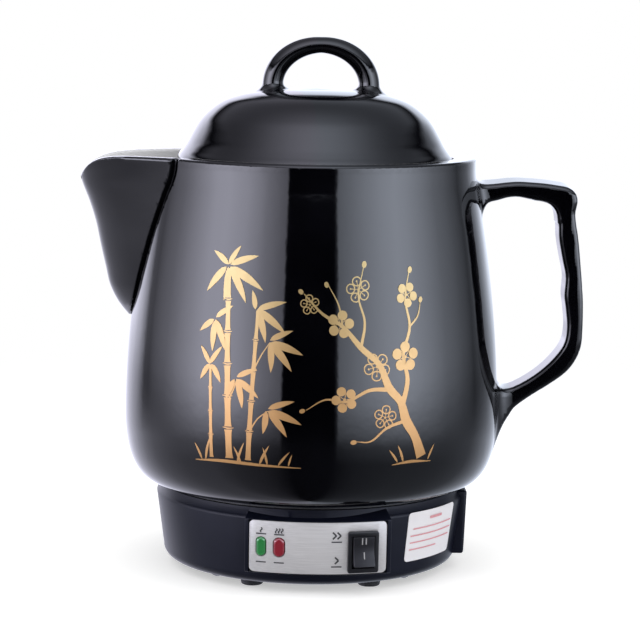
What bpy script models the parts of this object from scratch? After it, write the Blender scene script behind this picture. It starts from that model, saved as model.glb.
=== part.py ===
"""Electric herbal medicine pot: glazed jug and lid on a heated plastic base.

Metres, +Z up. The origin is on the table, under the middle of the whole pot.
The jug's own axis stands at AXIS_X. The spout points to -X, the handle to +X
and the control panel faces -Y.
"""
import math

import bmesh
import bpy
from mathutils import Matrix, Vector

# Gaps, overruns and the merging of doubled points
FIT = 0.0003
MERGE = 0.0000001
OVERRUN = 0.002
LID_PLAY = 0.001

# Jug: the belly sets its girth, and each other radius is stepped from it
BELLY_R = 0.0938
NECK_STEP = 0.0134
BOWL_STEP = 0.0175
RIM_T = 0.0112
LEDGE_W = 0.0044
LEDGE_DROP = 0.0045
LEDGE_T = 0.0050
FOOT_RING_T = 0.0113
FOOT_RING_H = 0.0065
JUG_H = 0.1626
BELLY_RISE = 0.0336
RIM_BAND_H = 0.008
RIM_ROUND = 0.0040
JUG_WALL = 0.006
JUG_FLOOR_T = 0.006
JUG_FLOOR_ROUND = 0.012
NECK_CURVE_SHARE = 1.72
BOWL_CURVE_SHARE = 2.4

RIM_R = BELLY_R - NECK_STEP
JUG_FOOT_R = BELLY_R - BOWL_STEP
RIM_OPENING_R = RIM_R - RIM_T
LEDGE_R = RIM_OPENING_R - LEDGE_W
FOOT_RING_IN_R = JUG_FOOT_R - FOOT_RING_T

# Reach of the whole pot from the jug's axis
SPOUT_OUT = 0.0233
HANDLE_OUT = 0.0424
SPOUT_REACH = BELLY_R + SPOUT_OUT
HANDLE_REACH = BELLY_R + HANDLE_OUT
AXIS_X = (SPOUT_REACH - HANDLE_REACH) / 2

# Ring between base and jug
GASKET_T = 0.0012
GASKET_INSET = 0.0008
GASKET_LAP = 0.0015
GASKET_R = JUG_FOOT_R - GASKET_INSET
GASKET_IN_R = FOOT_RING_IN_R + GASKET_LAP

# Heating base: housing
STAND_H = 0.0038
HOUSING_H = 0.0378
HOUSING_STEP = 0.0020
HOUSING_TAPER = 0.0037
HOUSING_WALL = 0.0025
SHOULDER_STEP = 0.0020
SHOULDER_DROP = 0.0029
SHOULDER_ROUND = 0.0026
HEM_ROUND = 0.0052
DECK_LIP = 0.005
COVER_INSET = 0.0066
COVER_T = 0.002

HOUSING_R = JUG_FOOT_R + HOUSING_STEP
HOUSING_FOOT_R = HOUSING_R - HOUSING_TAPER
SHOULDER_R = HOUSING_R - SHOULDER_STEP
DECK_OPENING_R = FOOT_RING_IN_R - DECK_LIP
COVER_R = HOUSING_FOOT_R - COVER_INSET

# Levels of the base, from the table up
HOUSING_Z = STAND_H
DECK_TOP_Z = HOUSING_Z + HOUSING_H
DECK_UNDER_Z = DECK_TOP_Z - HOUSING_WALL
COVER_TOP_Z = HOUSING_Z + COVER_T
TAPER_TOP_Z = DECK_TOP_Z - SHOULDER_DROP - SHOULDER_ROUND
TAPER_LOW_Z = HOUSING_Z + HEM_ROUND
TAPER_ANGLE = math.atan((HOUSING_R - HOUSING_FOOT_R) / (TAPER_TOP_Z - TAPER_LOW_Z))

JUG_FOOT_Z = DECK_TOP_Z + GASKET_T + 2 * FIT
FLOOR_UNDER_Z = JUG_FOOT_Z + FOOT_RING_H
FLOOR_TOP_Z = FLOOR_UNDER_Z + JUG_FLOOR_T
BELLY_Z = JUG_FOOT_Z + BELLY_RISE
RIM_TOP_Z = JUG_FOOT_Z + JUG_H
RIM_LOW_Z = RIM_TOP_Z - RIM_BAND_H
LEDGE_Z = RIM_TOP_Z - LEDGE_DROP

# Spout: height share, share of its reach past the belly and width share of each level
SPOUT_H = 0.0807
SPOUT_HALF_W = 0.038
SPOUT_WALL = 0.005
LIP_LENGTH = 0.0181
LIP_FALL = 0.0129
SPOUT_SHARES = (
    (-0.05, -0.257, 0.25), (0.04, 0.043, 0.447), (0.08, 0.146, 0.52),
    (0.167, 0.292, 0.64), (0.289, 0.412, 0.75), (0.418, 0.507, 0.85),
    (0.575, 0.623, 0.93), (0.704, 0.749, 1.0), (0.795, 0.889, 1.0),
    (0.84, 1.0, 1.0), (1.04, 1.452, 1.0),
)
SPOUT_NOSE_SHARE = 1.5
CHANNEL_OVERLAP = 0.018
CHANNEL_START_SHARE = 0.12

# Handle: reach share, height share and thickness share along its middle line
HANDLE_ROOT_INSET = 0.0138
HANDLE_TOP_RISE = 0.1521
HANDLE_LOW_RISE = 0.0223
HANDLE_HALF_T = 0.0055
HANDLE_ROOT_X = BELLY_R - HANDLE_ROOT_INSET
HANDLE_WIDE_SHARE = 1.85
HANDLE_SHARES = (
    (0.036, 0.938, 1.50), (0.178, 0.942, 1.255), (0.302, 0.950, 0.98),
    (0.402, 0.955, 0.873), (0.612, 0.945, 0.927), (0.738, 0.931, 0.98),
    (0.811, 0.904, 1.13), (0.833, 0.850, 1.02), (0.843, 0.773, 1.036),
    (0.856, 0.707, 1.064), (0.883, 0.637, 0.955), (0.886, 0.565, 1.045),
    (0.907, 0.472, 0.955), (0.911, 0.426, 0.91), (0.904, 0.379, 0.964),
    (0.875, 0.322, 1.073), (0.810, 0.270, 1.036), (0.681, 0.214, 0.873),
    (0.516, 0.178, 1.0), (0.365, 0.146, 1.29), (0.231, 0.106, 1.82),
    (0.107, 0.079, 2.18),
)

# Lid: radius share and height share down its outer side
LID_EDGE_GAP = 0.0006
LID_R = RIM_OPENING_R - LID_EDGE_GAP
LID_H = 0.0372
LID_WALL = 0.0045
SKIRT_H = 0.0065
SKIRT_T = 0.0045
LID_SHARES = (
    (0.0, 1.0), (0.204, 0.992), (0.394, 0.965), (0.554, 0.909), (0.676, 0.825),
    (0.742, 0.745), (0.793, 0.664), (0.834, 0.583), (0.863, 0.505), (0.888, 0.425),
    (0.914, 0.344), (0.931, 0.263), (0.968, 0.183), (0.997, 0.102), (1.0, 0.038),
    (0.994, 0.0),
)
LOOP_HALF_W = 0.024
LOOP_RISE = 0.0201
LOOP_BASE_Z = 0.0387
LOOP_TOP_T = 0.0040
LOOP_SIDE_T = 0.0052
LOOP_FOOT_T = 0.0066
LOOP_FOOT_SPREAD = 0.0012
LOOP_SINK = 0.0048
LOOP_WIDE_SHARE = 1.5
LOOP_X = 0.0024
LID_Z = LEDGE_Z + FIT

# Control panel on its flatter front boss
PANEL_X = 0.0029
PANEL_RISE = 0.0194
PANEL_W = 0.066
PANEL_H = 0.0262
PANEL_T = 0.0012
PANEL_ARC_R = 0.140
PANEL_FRAME = 0.0033
PANEL_FRAME_LOW = 0.0010
PANEL_PROUD = 0.0012
PANEL_SINK = 0.0004
PANEL_CORNER = 0.0025
PANEL_BACK = 0.0121
POCKET_BACK = 0.0242
LENS_H = 0.0096
WARM_LENS_W = 0.0046
HEAT_LENS_W = 0.0054
WARM_LENS_X = -0.0272
HEAT_LENS_X = -0.0186
LENS_PROUD = 0.0009
LENS_DEPTH = 0.0050
LAMP_R = 0.0021
LAMP_LENGTH = 0.009
HOLDER_W = 0.0165
HOLDER_H = 0.014
HOLDER_DEPTH = 0.011

# Rocker switch
ROCKER_X = 0.0214
ROCKER_RISE = -0.0014
FLANGE_W = 0.015
FLANGE_H = 0.021
FLANGE_T = 0.002
SWITCH_W = 0.013
SWITCH_H = 0.0192
SWITCH_DEPTH = 0.014
WELL_W = 0.0112
WELL_H = 0.0164
WELL_DEPTH = 0.009
KEY_PLAY = 0.0005
KEY_VALLEY = 0.0016
KEY_END = 0.0032
KEY_UNDER = 0.0030
KEY_SWING = math.radians(12)
PIVOT_R = 0.0009
PIVOT_DEPTH = 0.0012
BLADE_W = 0.0063
BLADE_T = 0.0008
BLADE_LENGTH = 0.008
BLADE_PITCH = 0.006
DIODE_R = 0.0023
DIODE_LENGTH = 0.008
LEAD_R = 0.0005

# Power inlet under the handle
INLET_STEP = 0.0011
INLET_FACE_X = HOUSING_R - INLET_STEP
INLET_BOSS_HALF_W = 0.020
INLET_BOSS_DEPTH = 0.0125
INLET_RISE = 0.0177
INLET_FLANGE_W = 0.031
INLET_FLANGE_H = 0.024
INLET_FLANGE_T = 0.0018
INLET_W = 0.027
INLET_H = 0.020
INLET_WELL_W = 0.0245
INLET_WELL_H = 0.0165
INLET_WELL_DEPTH = 0.0165
INLET_BACK_T = 0.0034
PIN_W = 0.002
PIN_H = 0.004
PIN_SPACING = 0.007
PIN_OFFSET = 0.002
PIN_SINK = 0.003
PIN_TAIL = 0.0065

# Label on the wall
LABEL_FROM = math.radians(38)
LABEL_TO = math.radians(65)
LABEL_H = 0.0236
LABEL_RISE = 0.0092
LABEL_T = 0.0002

# Feet and screws
FOOT_R = 0.006
FOOT_X_INSET = 0.0395
FOOT_Y_INSET = 0.015
FOOT_X = COVER_R - FOOT_X_INSET
FOOT_Y = COVER_R - FOOT_Y_INSET
FOOT_EDGE = 0.0006
FOOT_NECK_R = 0.0022
FOOT_BARB_R = 0.0031
FOOT_BARB_H = 0.0016
SCREW_INSET = 0.0035
SCREW_CIRCLE_R = COVER_R - SCREW_INSET
SCREW_R = 0.0012
SCREW_HEAD_R = 0.0028
SCREW_HEAD_T = 0.0016
SCREW_LENGTH = 0.010
BOSS_R = 0.0038
VENT_W = 0.003
VENT_LENGTH = 0.026
VENT_PITCH = 0.008
VENT_COUNT = 5

# Heater under the jug's floor
PLATE_GAP = 0.004
PLATE_R = DECK_OPENING_R - PLATE_GAP
PLATE_T = 0.003
ELEMENT_INSET = 0.012
ELEMENT_RING_R = PLATE_R - ELEMENT_INSET
ELEMENT_R = 0.0033
COLD_END_SPREAD = 0.009
COLD_END_DROP = 0.0122
INSULATION_T = 0.0015
PAN_T = 0.0008
PAN_GAP = 0.0025
PAN_R = DECK_OPENING_R - PAN_GAP
PAN_H = 0.0092
SENSOR_HOLE_R = 0.013
COLD_HOLE_R = 0.0046
BAR_W = 0.012
BAR_T = 0.0012
BAR_SCREW_OUT = 0.0025
BAR_SCREW_Y = DECK_OPENING_R + BAR_SCREW_OUT
BAR_END = 0.0030
BAR_BOSS_R = 0.0036
BAR_SCREW_LENGTH = 0.0046
THERMOSTAT_R = 0.008
THERMOSTAT_TAB = 0.0035
TAB_W = 0.004
TAB_T = 0.0008
FUSE_R = 0.002
FUSE_LENGTH = 0.010
FUSE_Y = 0.025
LUG_R = 0.0034
LUG_T = 0.0006
LUG_TAIL = 0.012
LUG_TAIL_W = 0.004

PLATE_TOP_Z = FLOOR_UNDER_Z - FIT
PLATE_LOW_Z = PLATE_TOP_Z - PLATE_T
ELEMENT_Z = PLATE_LOW_Z - FIT - ELEMENT_R
INSULATION_TOP_Z = ELEMENT_Z - ELEMENT_R - FIT
INSULATION_LOW_Z = INSULATION_TOP_Z - INSULATION_T
PAN_LOW_Z = INSULATION_LOW_Z - FIT - PAN_T
BAR_TOP_Z = PAN_LOW_Z - FIT
BAR_LOW_Z = BAR_TOP_Z - BAR_T

# Terminal block and wires
BLOCK_W = 0.026
BLOCK_D = 0.017
BLOCK_H = 0.012
BLOCK_INSET = 0.02266
BLOCK_TURN = math.radians(48.58)
BLOCK_X = -(COVER_R - BLOCK_INSET) * math.cos(BLOCK_TURN)
BLOCK_Y = (COVER_R - BLOCK_INSET) * math.sin(BLOCK_TURN)
PORT_R = 0.0018
PORT_PITCH = 0.008
WIRE_R = 0.0011
WIRE_STRAIGHT = 0.003
WIRE_SWING = 0.017
WIRE_STEPS = 8

# Roundness
SEGMENTS = 48
SMALL_SEGMENTS = 16
FINE_SEGMENTS = 10
SHADE_ANGLE = math.radians(35)
EDGE_ROUND = 0.0006

COLOURS = {
    "black_glaze": ((0.012, 0.012, 0.018, 1), 0.06, 0.0),
    "housing_plastic": ((0.015, 0.017, 0.028, 1), 0.38, 0.0),
    "black_plastic": ((0.008, 0.008, 0.010, 1), 0.30, 0.0),
    "silver_panel": ((0.66, 0.66, 0.68, 1), 0.30, 0.9),
    "green_lens": ((0.02, 0.22, 0.05, 1), 0.15, 0.0),
    "red_lens": ((0.26, 0.01, 0.03, 1), 0.15, 0.0),
    "white_label": ((0.80, 0.79, 0.81, 1), 0.45, 0.0),
    "foot_rubber": ((0.010, 0.010, 0.011, 1), 0.80, 0.0),
    "silicone": ((0.02, 0.02, 0.022, 1), 0.60, 0.0),
    "cast_aluminium": ((0.55, 0.55, 0.56, 1), 0.45, 1.0),
    "steel": ((0.50, 0.50, 0.50, 1), 0.30, 1.0),
    "brass": ((0.60, 0.42, 0.15, 1), 0.30, 1.0),
    "mica": ((0.45, 0.40, 0.32, 1), 0.70, 0.0),
    "white_nylon": ((0.75, 0.75, 0.72, 1), 0.50, 0.0),
    "lamp_glass": ((0.70, 0.55, 0.45, 1), 0.10, 0.0),
    "bakelite": ((0.05, 0.03, 0.02, 1), 0.50, 0.0),
    "wire_red": ((0.40, 0.02, 0.02, 1), 0.50, 0.0),
    "wire_blue": ((0.02, 0.06, 0.35, 1), 0.50, 0.0),
    "wire_yellow": ((0.45, 0.40, 0.02, 1), 0.50, 0.0),
    "wire_white": ((0.60, 0.60, 0.58, 1), 0.50, 0.0),
}


# Scene and collections

def clear_scene():
    for obj in list(bpy.data.objects):
        bpy.data.objects.remove(obj, do_unlink=True)


def new_collection(name):
    collection = bpy.data.collections.new(name)
    bpy.context.scene.collection.children.link(collection)
    return collection


def make_material(name):
    colour, roughness, metallic = COLOURS[name]
    material = bpy.data.materials.new(name)
    material.use_nodes = True
    shader = material.node_tree.nodes["Principled BSDF"]
    shader.inputs["Base Color"].default_value = colour
    shader.inputs["Roughness"].default_value = roughness
    shader.inputs["Metallic"].default_value = metallic
    material.diffuse_color = colour
    return material


clear_scene()
PARTS = new_collection("herbal_medicine_pot")
CUTTERS = new_collection("cutters")
MATERIALS = {name: make_material(name) for name in COLOURS}


def empty(name, parent=None, matrix=None):
    obj = bpy.data.objects.new(name, None)
    PARTS.objects.link(obj)
    obj.parent = parent
    if matrix is not None:
        obj.matrix_basis = matrix
    return obj


AXIS = empty("pot_axis", matrix=Matrix.Translation((AXIS_X, 0, 0)))


def place(obj, material=None, parent=AXIS, location=(0, 0, 0), rotation=(0, 0, 0)):
    """A part takes a material. Without one the object is a cutter or a joined form."""
    obj.parent = parent
    obj.location = location
    obj.rotation_euler = rotation
    if material is None:
        CUTTERS.objects.link(obj)
        obj.hide_render = True
        obj.display_type = "WIRE"
    else:
        PARTS.objects.link(obj)
        obj.data.materials.append(MATERIALS[material])
    return obj


# Shapes

def smooth(mesh):
    mesh.shade_smooth()
    mesh.set_sharp_from_angle(angle=SHADE_ANGLE)


def turned(name, profile, material=None, segments=SEGMENTS, **where):
    """Turn a profile of (radius, height) points, listed down the outer side first."""
    bm = bmesh.new()
    ring = [bm.verts.new((radius, 0, height)) for radius, height in profile]
    for start, end in zip(ring, ring[1:]):
        bm.edges.new((start, end))
    if profile[0][0] > 0:
        bm.edges.new((ring[-1], ring[0]))
    mesh = bpy.data.meshes.new(name)
    bm.to_mesh(mesh)
    bm.free()
    obj = place(bpy.data.objects.new(name, mesh), material, **where)
    screw = obj.modifiers.new("turn", "SCREW")
    screw.steps = segments
    screw.render_steps = segments
    screw.use_merge_vertices = True
    screw.merge_threshold = MERGE
    screw.use_smooth_shade = True
    return obj


def box(name, size, material=None, bevel=0, **where):
    bm = bmesh.new()
    bmesh.ops.create_cube(bm, size=1)
    bmesh.ops.scale(bm, vec=size, verts=bm.verts)
    mesh = bpy.data.meshes.new(name)
    bm.to_mesh(mesh)
    bm.free()
    obj = place(bpy.data.objects.new(name, mesh), material, **where)
    if bevel:
        modifier = obj.modifiers.new("edges", "BEVEL")
        modifier.width = bevel
        modifier.segments = 1
    return obj


def rod(name, radius, length, material=None, segments=SMALL_SEGMENTS, **where):
    bm = bmesh.new()
    bmesh.ops.create_cone(bm, cap_ends=True, segments=segments, radius1=radius,
                          radius2=radius, depth=length)
    mesh = bpy.data.meshes.new(name)
    bm.to_mesh(mesh)
    bm.free()
    smooth(mesh)
    return place(bpy.data.objects.new(name, mesh), material, **where)


def loft(name, rings, material=None, **where):
    """Skin a stack of rings with equal numbers of points and close both ends."""
    bm = bmesh.new()
    layers = [[bm.verts.new(point) for point in ring] for ring in rings]
    for low, high in zip(layers, layers[1:]):
        for index in range(len(low)):
            after = (index + 1) % len(low)
            bm.faces.new((low[index], low[after], high[after], high[index]))
    bm.faces.new(list(reversed(layers[0])))
    bm.faces.new(layers[-1])
    bmesh.ops.recalc_face_normals(bm, faces=bm.faces)
    mesh = bpy.data.meshes.new(name)
    bm.to_mesh(mesh)
    bm.free()
    smooth(mesh)
    return place(bpy.data.objects.new(name, mesh), material, **where)


def prism(name, outline, low, high, material=None, **where):
    """Raise a flat XY outline from one height to another."""
    rings = [[(x, y, level) for x, y in outline] for level in (low, high)]
    return loft(name, rings, material, **where)


def tube_curve(name, points, radii, resolution):
    curve = bpy.data.curves.new(name, "CURVE")
    curve.dimensions = "3D"
    curve.bevel_depth = 1
    curve.bevel_resolution = resolution
    curve.use_fill_caps = True
    spline = curve.splines.new("POLY")
    spline.points.add(len(points) - 1)
    for point, place_at, radius in zip(spline.points, points, radii):
        point.co = (*place_at, 1)
        point.radius = radius
    return bpy.data.objects.new(name, curve)


def tube(name, points, radius, material, resolution=2, **where):
    return place(tube_curve(name, points, [radius] * len(points), resolution),
                 material, **where)


def tube_mesh(name, points, radii, material=None, resolution=2, wide_share=1, **where):
    """A tube as a closed mesh, widened along Y, ready for Boolean work."""
    source = tube_curve(name + "_route", points, radii, resolution)
    CUTTERS.objects.link(source)
    source.hide_render = True
    depsgraph = bpy.context.evaluated_depsgraph_get()
    mesh = bpy.data.meshes.new_from_object(source.evaluated_get(depsgraph))
    bpy.data.objects.remove(source, do_unlink=True)
    bm = bmesh.new()
    bm.from_mesh(mesh)
    bmesh.ops.remove_doubles(bm, verts=bm.verts, dist=MERGE)
    bmesh.ops.scale(bm, vec=(1, wide_share, 1), verts=bm.verts)
    bmesh.ops.recalc_face_normals(bm, faces=bm.faces)
    bm.to_mesh(mesh)
    bm.free()
    mesh.materials.clear()
    return place(bpy.data.objects.new(name, mesh), material, **where)


def boolean(target, other, operation):
    modifier = target.modifiers.new(other.name, "BOOLEAN")
    modifier.object = other
    modifier.operation = operation
    modifier.solver = "EXACT"


def cut(target, *cutters):
    for cutter in cutters:
        boolean(target, cutter, "DIFFERENCE")


def fuse(target, *others):
    for other in others:
        boolean(target, other, "UNION")


def arc_points(centre, radius, start, end, steps):
    """Points of an arc in a profile, as (radius, height), from one angle to another."""
    angles = [start + (end - start) * step / steps for step in range(steps + 1)]
    return [(centre[0] + radius * math.cos(a), centre[1] + radius * math.sin(a)) for a in angles]


def bezier(start, lead, trail, end, count):
    """Points along a smooth path whose two middle controls steer its ends."""
    points = []
    for step in range(count + 1):
        t = step / count
        weights = ((1 - t) ** 3, 3 * t * (1 - t) ** 2, 3 * t * t * (1 - t), t ** 3)
        controls = [Vector(p) for p in (start, lead, trail, end)]
        points.append(sum((w * p for w, p in zip(weights, controls)), Vector()))
    return points


# Jug

def jug_radius(height):
    """Outer radius of the jug's wall at a height above the table."""
    if height >= BELLY_Z:
        rise = min((height - BELLY_Z) / (RIM_LOW_Z - BELLY_Z), 1)
        return RIM_R + (BELLY_R - RIM_R) * (1 - rise ** NECK_CURVE_SHARE)
    fall = min((BELLY_Z - height) / (BELLY_Z - JUG_FOOT_Z), 1)
    swell = (1 - fall ** BOWL_CURVE_SHARE) ** (1 / BOWL_CURVE_SHARE)
    return JUG_FOOT_R + (BELLY_R - JUG_FOOT_R) * swell


def jug_outside():
    """Solid outer form, from the middle of the mouth down to the middle of the floor."""
    neck_steps = 9
    bowl_steps = 8
    heights = [RIM_LOW_Z + (BELLY_Z - RIM_LOW_Z) * step / neck_steps for step in range(neck_steps)]
    for step in range(bowl_steps + 1):
        heights.append(BELLY_Z + (JUG_FOOT_Z - BELLY_Z) * math.sin(math.pi / 2 * step / bowl_steps))
    crown = (RIM_R - RIM_ROUND, RIM_TOP_Z - RIM_ROUND)
    points = [(0, RIM_TOP_Z)] + arc_points(crown, RIM_ROUND, math.pi / 2, 0, 4)
    points += [(jug_radius(height), height) for height in heights]
    points += [(FOOT_RING_IN_R, JUG_FOOT_Z), (FOOT_RING_IN_R, FLOOR_UNDER_Z), (0, FLOOR_UNDER_Z)]
    return turned("ceramic_pot", points, "black_glaze")


def jug_inside():
    """Cavity with the lid's ledge, open past the rim."""
    ledge_low = LEDGE_Z - LEDGE_T
    throat = RIM_LOW_Z - RIM_BAND_H
    wall_steps = 8
    corner_r = jug_radius(FLOOR_TOP_Z + JUG_FLOOR_ROUND) - JUG_WALL
    corner = (corner_r - JUG_FLOOR_ROUND, FLOOR_TOP_Z + JUG_FLOOR_ROUND)
    points = [(0, RIM_TOP_Z + OVERRUN), (RIM_OPENING_R, RIM_TOP_Z + OVERRUN),
              (RIM_OPENING_R, LEDGE_Z), (LEDGE_R, LEDGE_Z), (LEDGE_R, ledge_low)]
    for step in range(wall_steps + 1):
        height = throat + (corner[1] - throat) * step / wall_steps
        points.append((jug_radius(height) - JUG_WALL, height))
    points += arc_points(corner, JUG_FLOOR_ROUND, 0, -math.pi / 2, 4)[1:]
    points.append((0, FLOOR_TOP_Z))
    return turned("jug_inside", points)


def spout_ring(height, reach, half_width, inward):
    """A level of the spout: a pointed bow from the jug's wall round the nose."""
    wall = jug_radius(height)
    root = -math.sqrt(wall * wall - half_width * half_width)
    ring = [(root + inward, -half_width, height)]
    steps = 12
    for step in range(steps + 1):
        across = 2 * step / steps - 1
        out = 1 - abs(across) ** SPOUT_NOSE_SHARE
        ring.append((root + (-reach - root) * out, half_width * across, height))
    ring.append((root + inward, half_width, height))
    return ring


def spout_levels():
    low = RIM_TOP_Z - SPOUT_H
    return [(low + share * SPOUT_H, BELLY_R + reach * SPOUT_OUT, width * SPOUT_HALF_W)
            for share, reach, width in SPOUT_SHARES]


def spout_outside():
    levels = spout_levels()
    body = loft("spout_outside", [spout_ring(z, reach, w, JUG_WALL) for z, reach, w in levels])
    start = SPOUT_REACH - LIP_LENGTH
    lip = [(-start, RIM_TOP_Z)]
    steps = 8
    for step in range(1, steps + 1):
        turn = math.pi / 2 * step / steps
        lip.append((-start - LIP_LENGTH * math.sin(turn),
                    RIM_TOP_Z - LIP_FALL * (1 - math.cos(turn))))
    far = SPOUT_REACH + LIP_LENGTH
    top = RIM_TOP_Z + LIP_FALL
    lip += [(-far, RIM_TOP_Z - LIP_FALL), (-far, top), (-SPOUT_HALF_W, top),
            (-SPOUT_HALF_W, RIM_TOP_Z)]
    half = SPOUT_HALF_W + OVERRUN
    trimmer = loft("lip_trimmer", [[(x, side, z) for x, z in lip] for side in (-half, half)])
    cut(body, trimmer)
    return body


def spout_channel():
    low = RIM_TOP_Z - SPOUT_H
    start = low + CHANNEL_START_SHARE * SPOUT_H
    rings = []
    for height, reach, half_width in spout_levels()[2:]:
        raised = start + (height - low) / SPOUT_H * (RIM_TOP_Z + OVERRUN - start)
        if height >= RIM_TOP_Z - LIP_FALL - OVERRUN:
            raised = max(raised, height)
        inner_reach = reach - JUG_WALL - SPOUT_WALL / 2
        rings.append(spout_ring(raised, inner_reach, half_width - SPOUT_WALL, CHANNEL_OVERLAP))
    return loft("spout_channel", rings)


def handle_outside():
    points, radii = [], []
    for reach, height, thick in HANDLE_SHARES:
        rise = HANDLE_LOW_RISE + height * (HANDLE_TOP_RISE - HANDLE_LOW_RISE)
        points.append((HANDLE_ROOT_X + reach * (HANDLE_REACH - HANDLE_ROOT_X), 0, JUG_FOOT_Z + rise))
        radii.append(thick * HANDLE_HALF_T)
    return tube_mesh("handle_outside", points, radii, resolution=4,
                     wide_share=HANDLE_WIDE_SHARE)


def make_jug():
    jug = jug_outside()
    fuse(jug, spout_outside(), handle_outside())
    cut(jug, jug_inside(), spout_channel())
    return jug


# Lid

def lid_outline():
    return [(r * LID_R, z * LID_H) for r, z in LID_SHARES]


def lid_inner_radius(height):
    """Inner radius of the dome at a height above the lid's seat."""
    target = height + LID_WALL
    outline = lid_outline()
    for (r_high, z_high), (r_low, z_low) in zip(outline, outline[1:]):
        if z_low <= target <= z_high:
            share = (target - z_low) / (z_high - z_low)
            return r_low + (r_high - r_low) * share - LID_WALL
    return 0


def make_lid():
    skirt_r = LEDGE_R - LID_PLAY
    skirt_in = skirt_r - SKIRT_T
    skirt = [(skirt_r, 0), (skirt_r, -SKIRT_H), (0, -SKIRT_H)]
    dome = turned("ceramic_lid", lid_outline() + skirt, "black_glaze", location=(0, 0, LID_Z))
    fuse(dome, loop_handle())
    roof = LID_H - LID_WALL
    inside = [(0, roof)]
    roof_steps = 8
    for step in range(1, roof_steps):
        height = roof * math.cos(math.pi / 2 * step / roof_steps)
        radius = min(lid_inner_radius(height), skirt_in)
        inside.append((radius, height))
    inside += [(skirt_in, 0), (skirt_in, -SKIRT_H - OVERRUN), (0, -SKIRT_H - OVERRUN)]
    cut(dome, turned("lid_inside", inside, location=(0, 0, LID_Z)))
    return dome


def loop_handle():
    arch_steps = 14
    points, radii = [], []
    for step in range(arch_steps + 1):
        turn = math.pi * step / arch_steps
        side = abs(math.cos(turn))
        points.append((LOOP_X + LOOP_HALF_W * math.cos(turn), 0,
                       LOOP_BASE_Z + LOOP_RISE * math.sin(turn)))
        radii.append(LOOP_TOP_T + (LOOP_SIDE_T - LOOP_TOP_T) * side)
    foot = LOOP_HALF_W + LOOP_FOOT_SPREAD
    root = LOOP_BASE_Z - LOOP_SINK
    points = [(LOOP_X + foot, 0, root)] + points + [(LOOP_X - foot, 0, root)]
    radii = [LOOP_FOOT_T] + radii + [LOOP_FOOT_T]
    return tube_mesh("lid_loop", points, radii, resolution=4, wide_share=LOOP_WIDE_SHARE,
                     location=(0, 0, LID_Z))


# Heating base

def housing_radius(height):
    share = (height - TAPER_LOW_Z) / (TAPER_TOP_Z - TAPER_LOW_Z)
    share = max(0, min(1, share))
    return HOUSING_FOOT_R + (HOUSING_R - HOUSING_FOOT_R) * share


def make_housing():
    hem = (HOUSING_FOOT_R - HEM_ROUND, TAPER_LOW_Z)
    wall_in_top = HOUSING_R - HOUSING_WALL
    wall_in_low = HOUSING_FOOT_R - HOUSING_WALL
    outer = [(SHOULDER_R, DECK_TOP_Z), (HOUSING_R - FIT, DECK_TOP_Z - SHOULDER_DROP),
             (HOUSING_R, TAPER_TOP_Z)]
    outer += arc_points(hem, HEM_ROUND, 0, -math.pi / 2, 4)
    inner = [(COVER_R, HOUSING_Z), (COVER_R, COVER_TOP_Z), (wall_in_low, TAPER_LOW_Z),
             (wall_in_top, TAPER_TOP_Z), (wall_in_top, DECK_UNDER_Z),
             (DECK_OPENING_R, DECK_UNDER_Z), (DECK_OPENING_R, DECK_TOP_Z)]
    housing = turned("base_housing", outer + inner, "housing_plastic")
    fuse(housing, panel_boss(), inlet_boss())
    seat_h = COVER_T + FIT + OVERRUN
    cover_seat = rod("cover_seat", COVER_R + FIT, seat_h, segments=SEGMENTS,
                     location=(0, 0, COVER_TOP_Z + FIT - seat_h / 2))
    cut(housing, panel_pocket(), panel_recess(), inlet_pocket(), inlet_recess(), cover_seat)
    boss_low = COVER_TOP_Z + FIT
    boss_height = DECK_UNDER_Z + HOUSING_WALL / 2 - boss_low
    for index, (x, y) in enumerate(screw_places()):
        middle = (x, y, boss_low + boss_height / 2)
        fuse(housing, rod(f"screw_boss_{index}", BOSS_R, boss_height, location=middle,
                          segments=FINE_SEGMENTS))
        depth = SCREW_LENGTH + OVERRUN
        hole_z = boss_low - OVERRUN + depth / 2
        cut(housing, rod(f"screw_bore_{index}", SCREW_R + FIT, depth, location=(x, y, hole_z),
                         segments=FINE_SEGMENTS))
    bar_boss_low = BAR_TOP_Z + FIT
    bar_boss_height = DECK_UNDER_Z + HOUSING_WALL / 2 - bar_boss_low
    for side in (-1, 1):
        middle = (0, side * BAR_SCREW_Y, bar_boss_low + bar_boss_height / 2)
        fuse(housing, rod(f"bar_boss_{side}", BAR_BOSS_R, bar_boss_height, location=middle,
                          segments=FINE_SEGMENTS))
        bore_height = BAR_SCREW_LENGTH - BAR_T - LUG_T + OVERRUN
        bore_z = bar_boss_low - OVERRUN + bore_height / 2
        cut(housing, rod(f"bar_bore_{side}", SCREW_R + FIT, bore_height,
                         location=(0, side * BAR_SCREW_Y, bore_z), segments=FINE_SEGMENTS))
    return housing


def screw_places():
    reach = SCREW_CIRCLE_R * math.cos(math.pi / 4)
    return [(sx * reach, sy * reach) for sx in (-1, 1) for sy in (-1, 1)]


# Front boss and panel, in a frame whose -Y leaves the panel

PANEL_Z = HOUSING_Z + PANEL_RISE
PANEL_FRONT_Y = -(housing_radius(PANEL_Z) + PANEL_PROUD)
PANEL_MATRIX = Matrix.Translation((PANEL_X, PANEL_FRONT_Y, PANEL_Z)) @ Matrix.Rotation(
    TAPER_ANGLE, 4, "X")


def panel_sag(x, inset=0):
    """Depth of the arched front surface at a distance from its middle."""
    radius = PANEL_ARC_R - inset
    return PANEL_ARC_R - math.sqrt(radius * radius - x * x)


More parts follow.
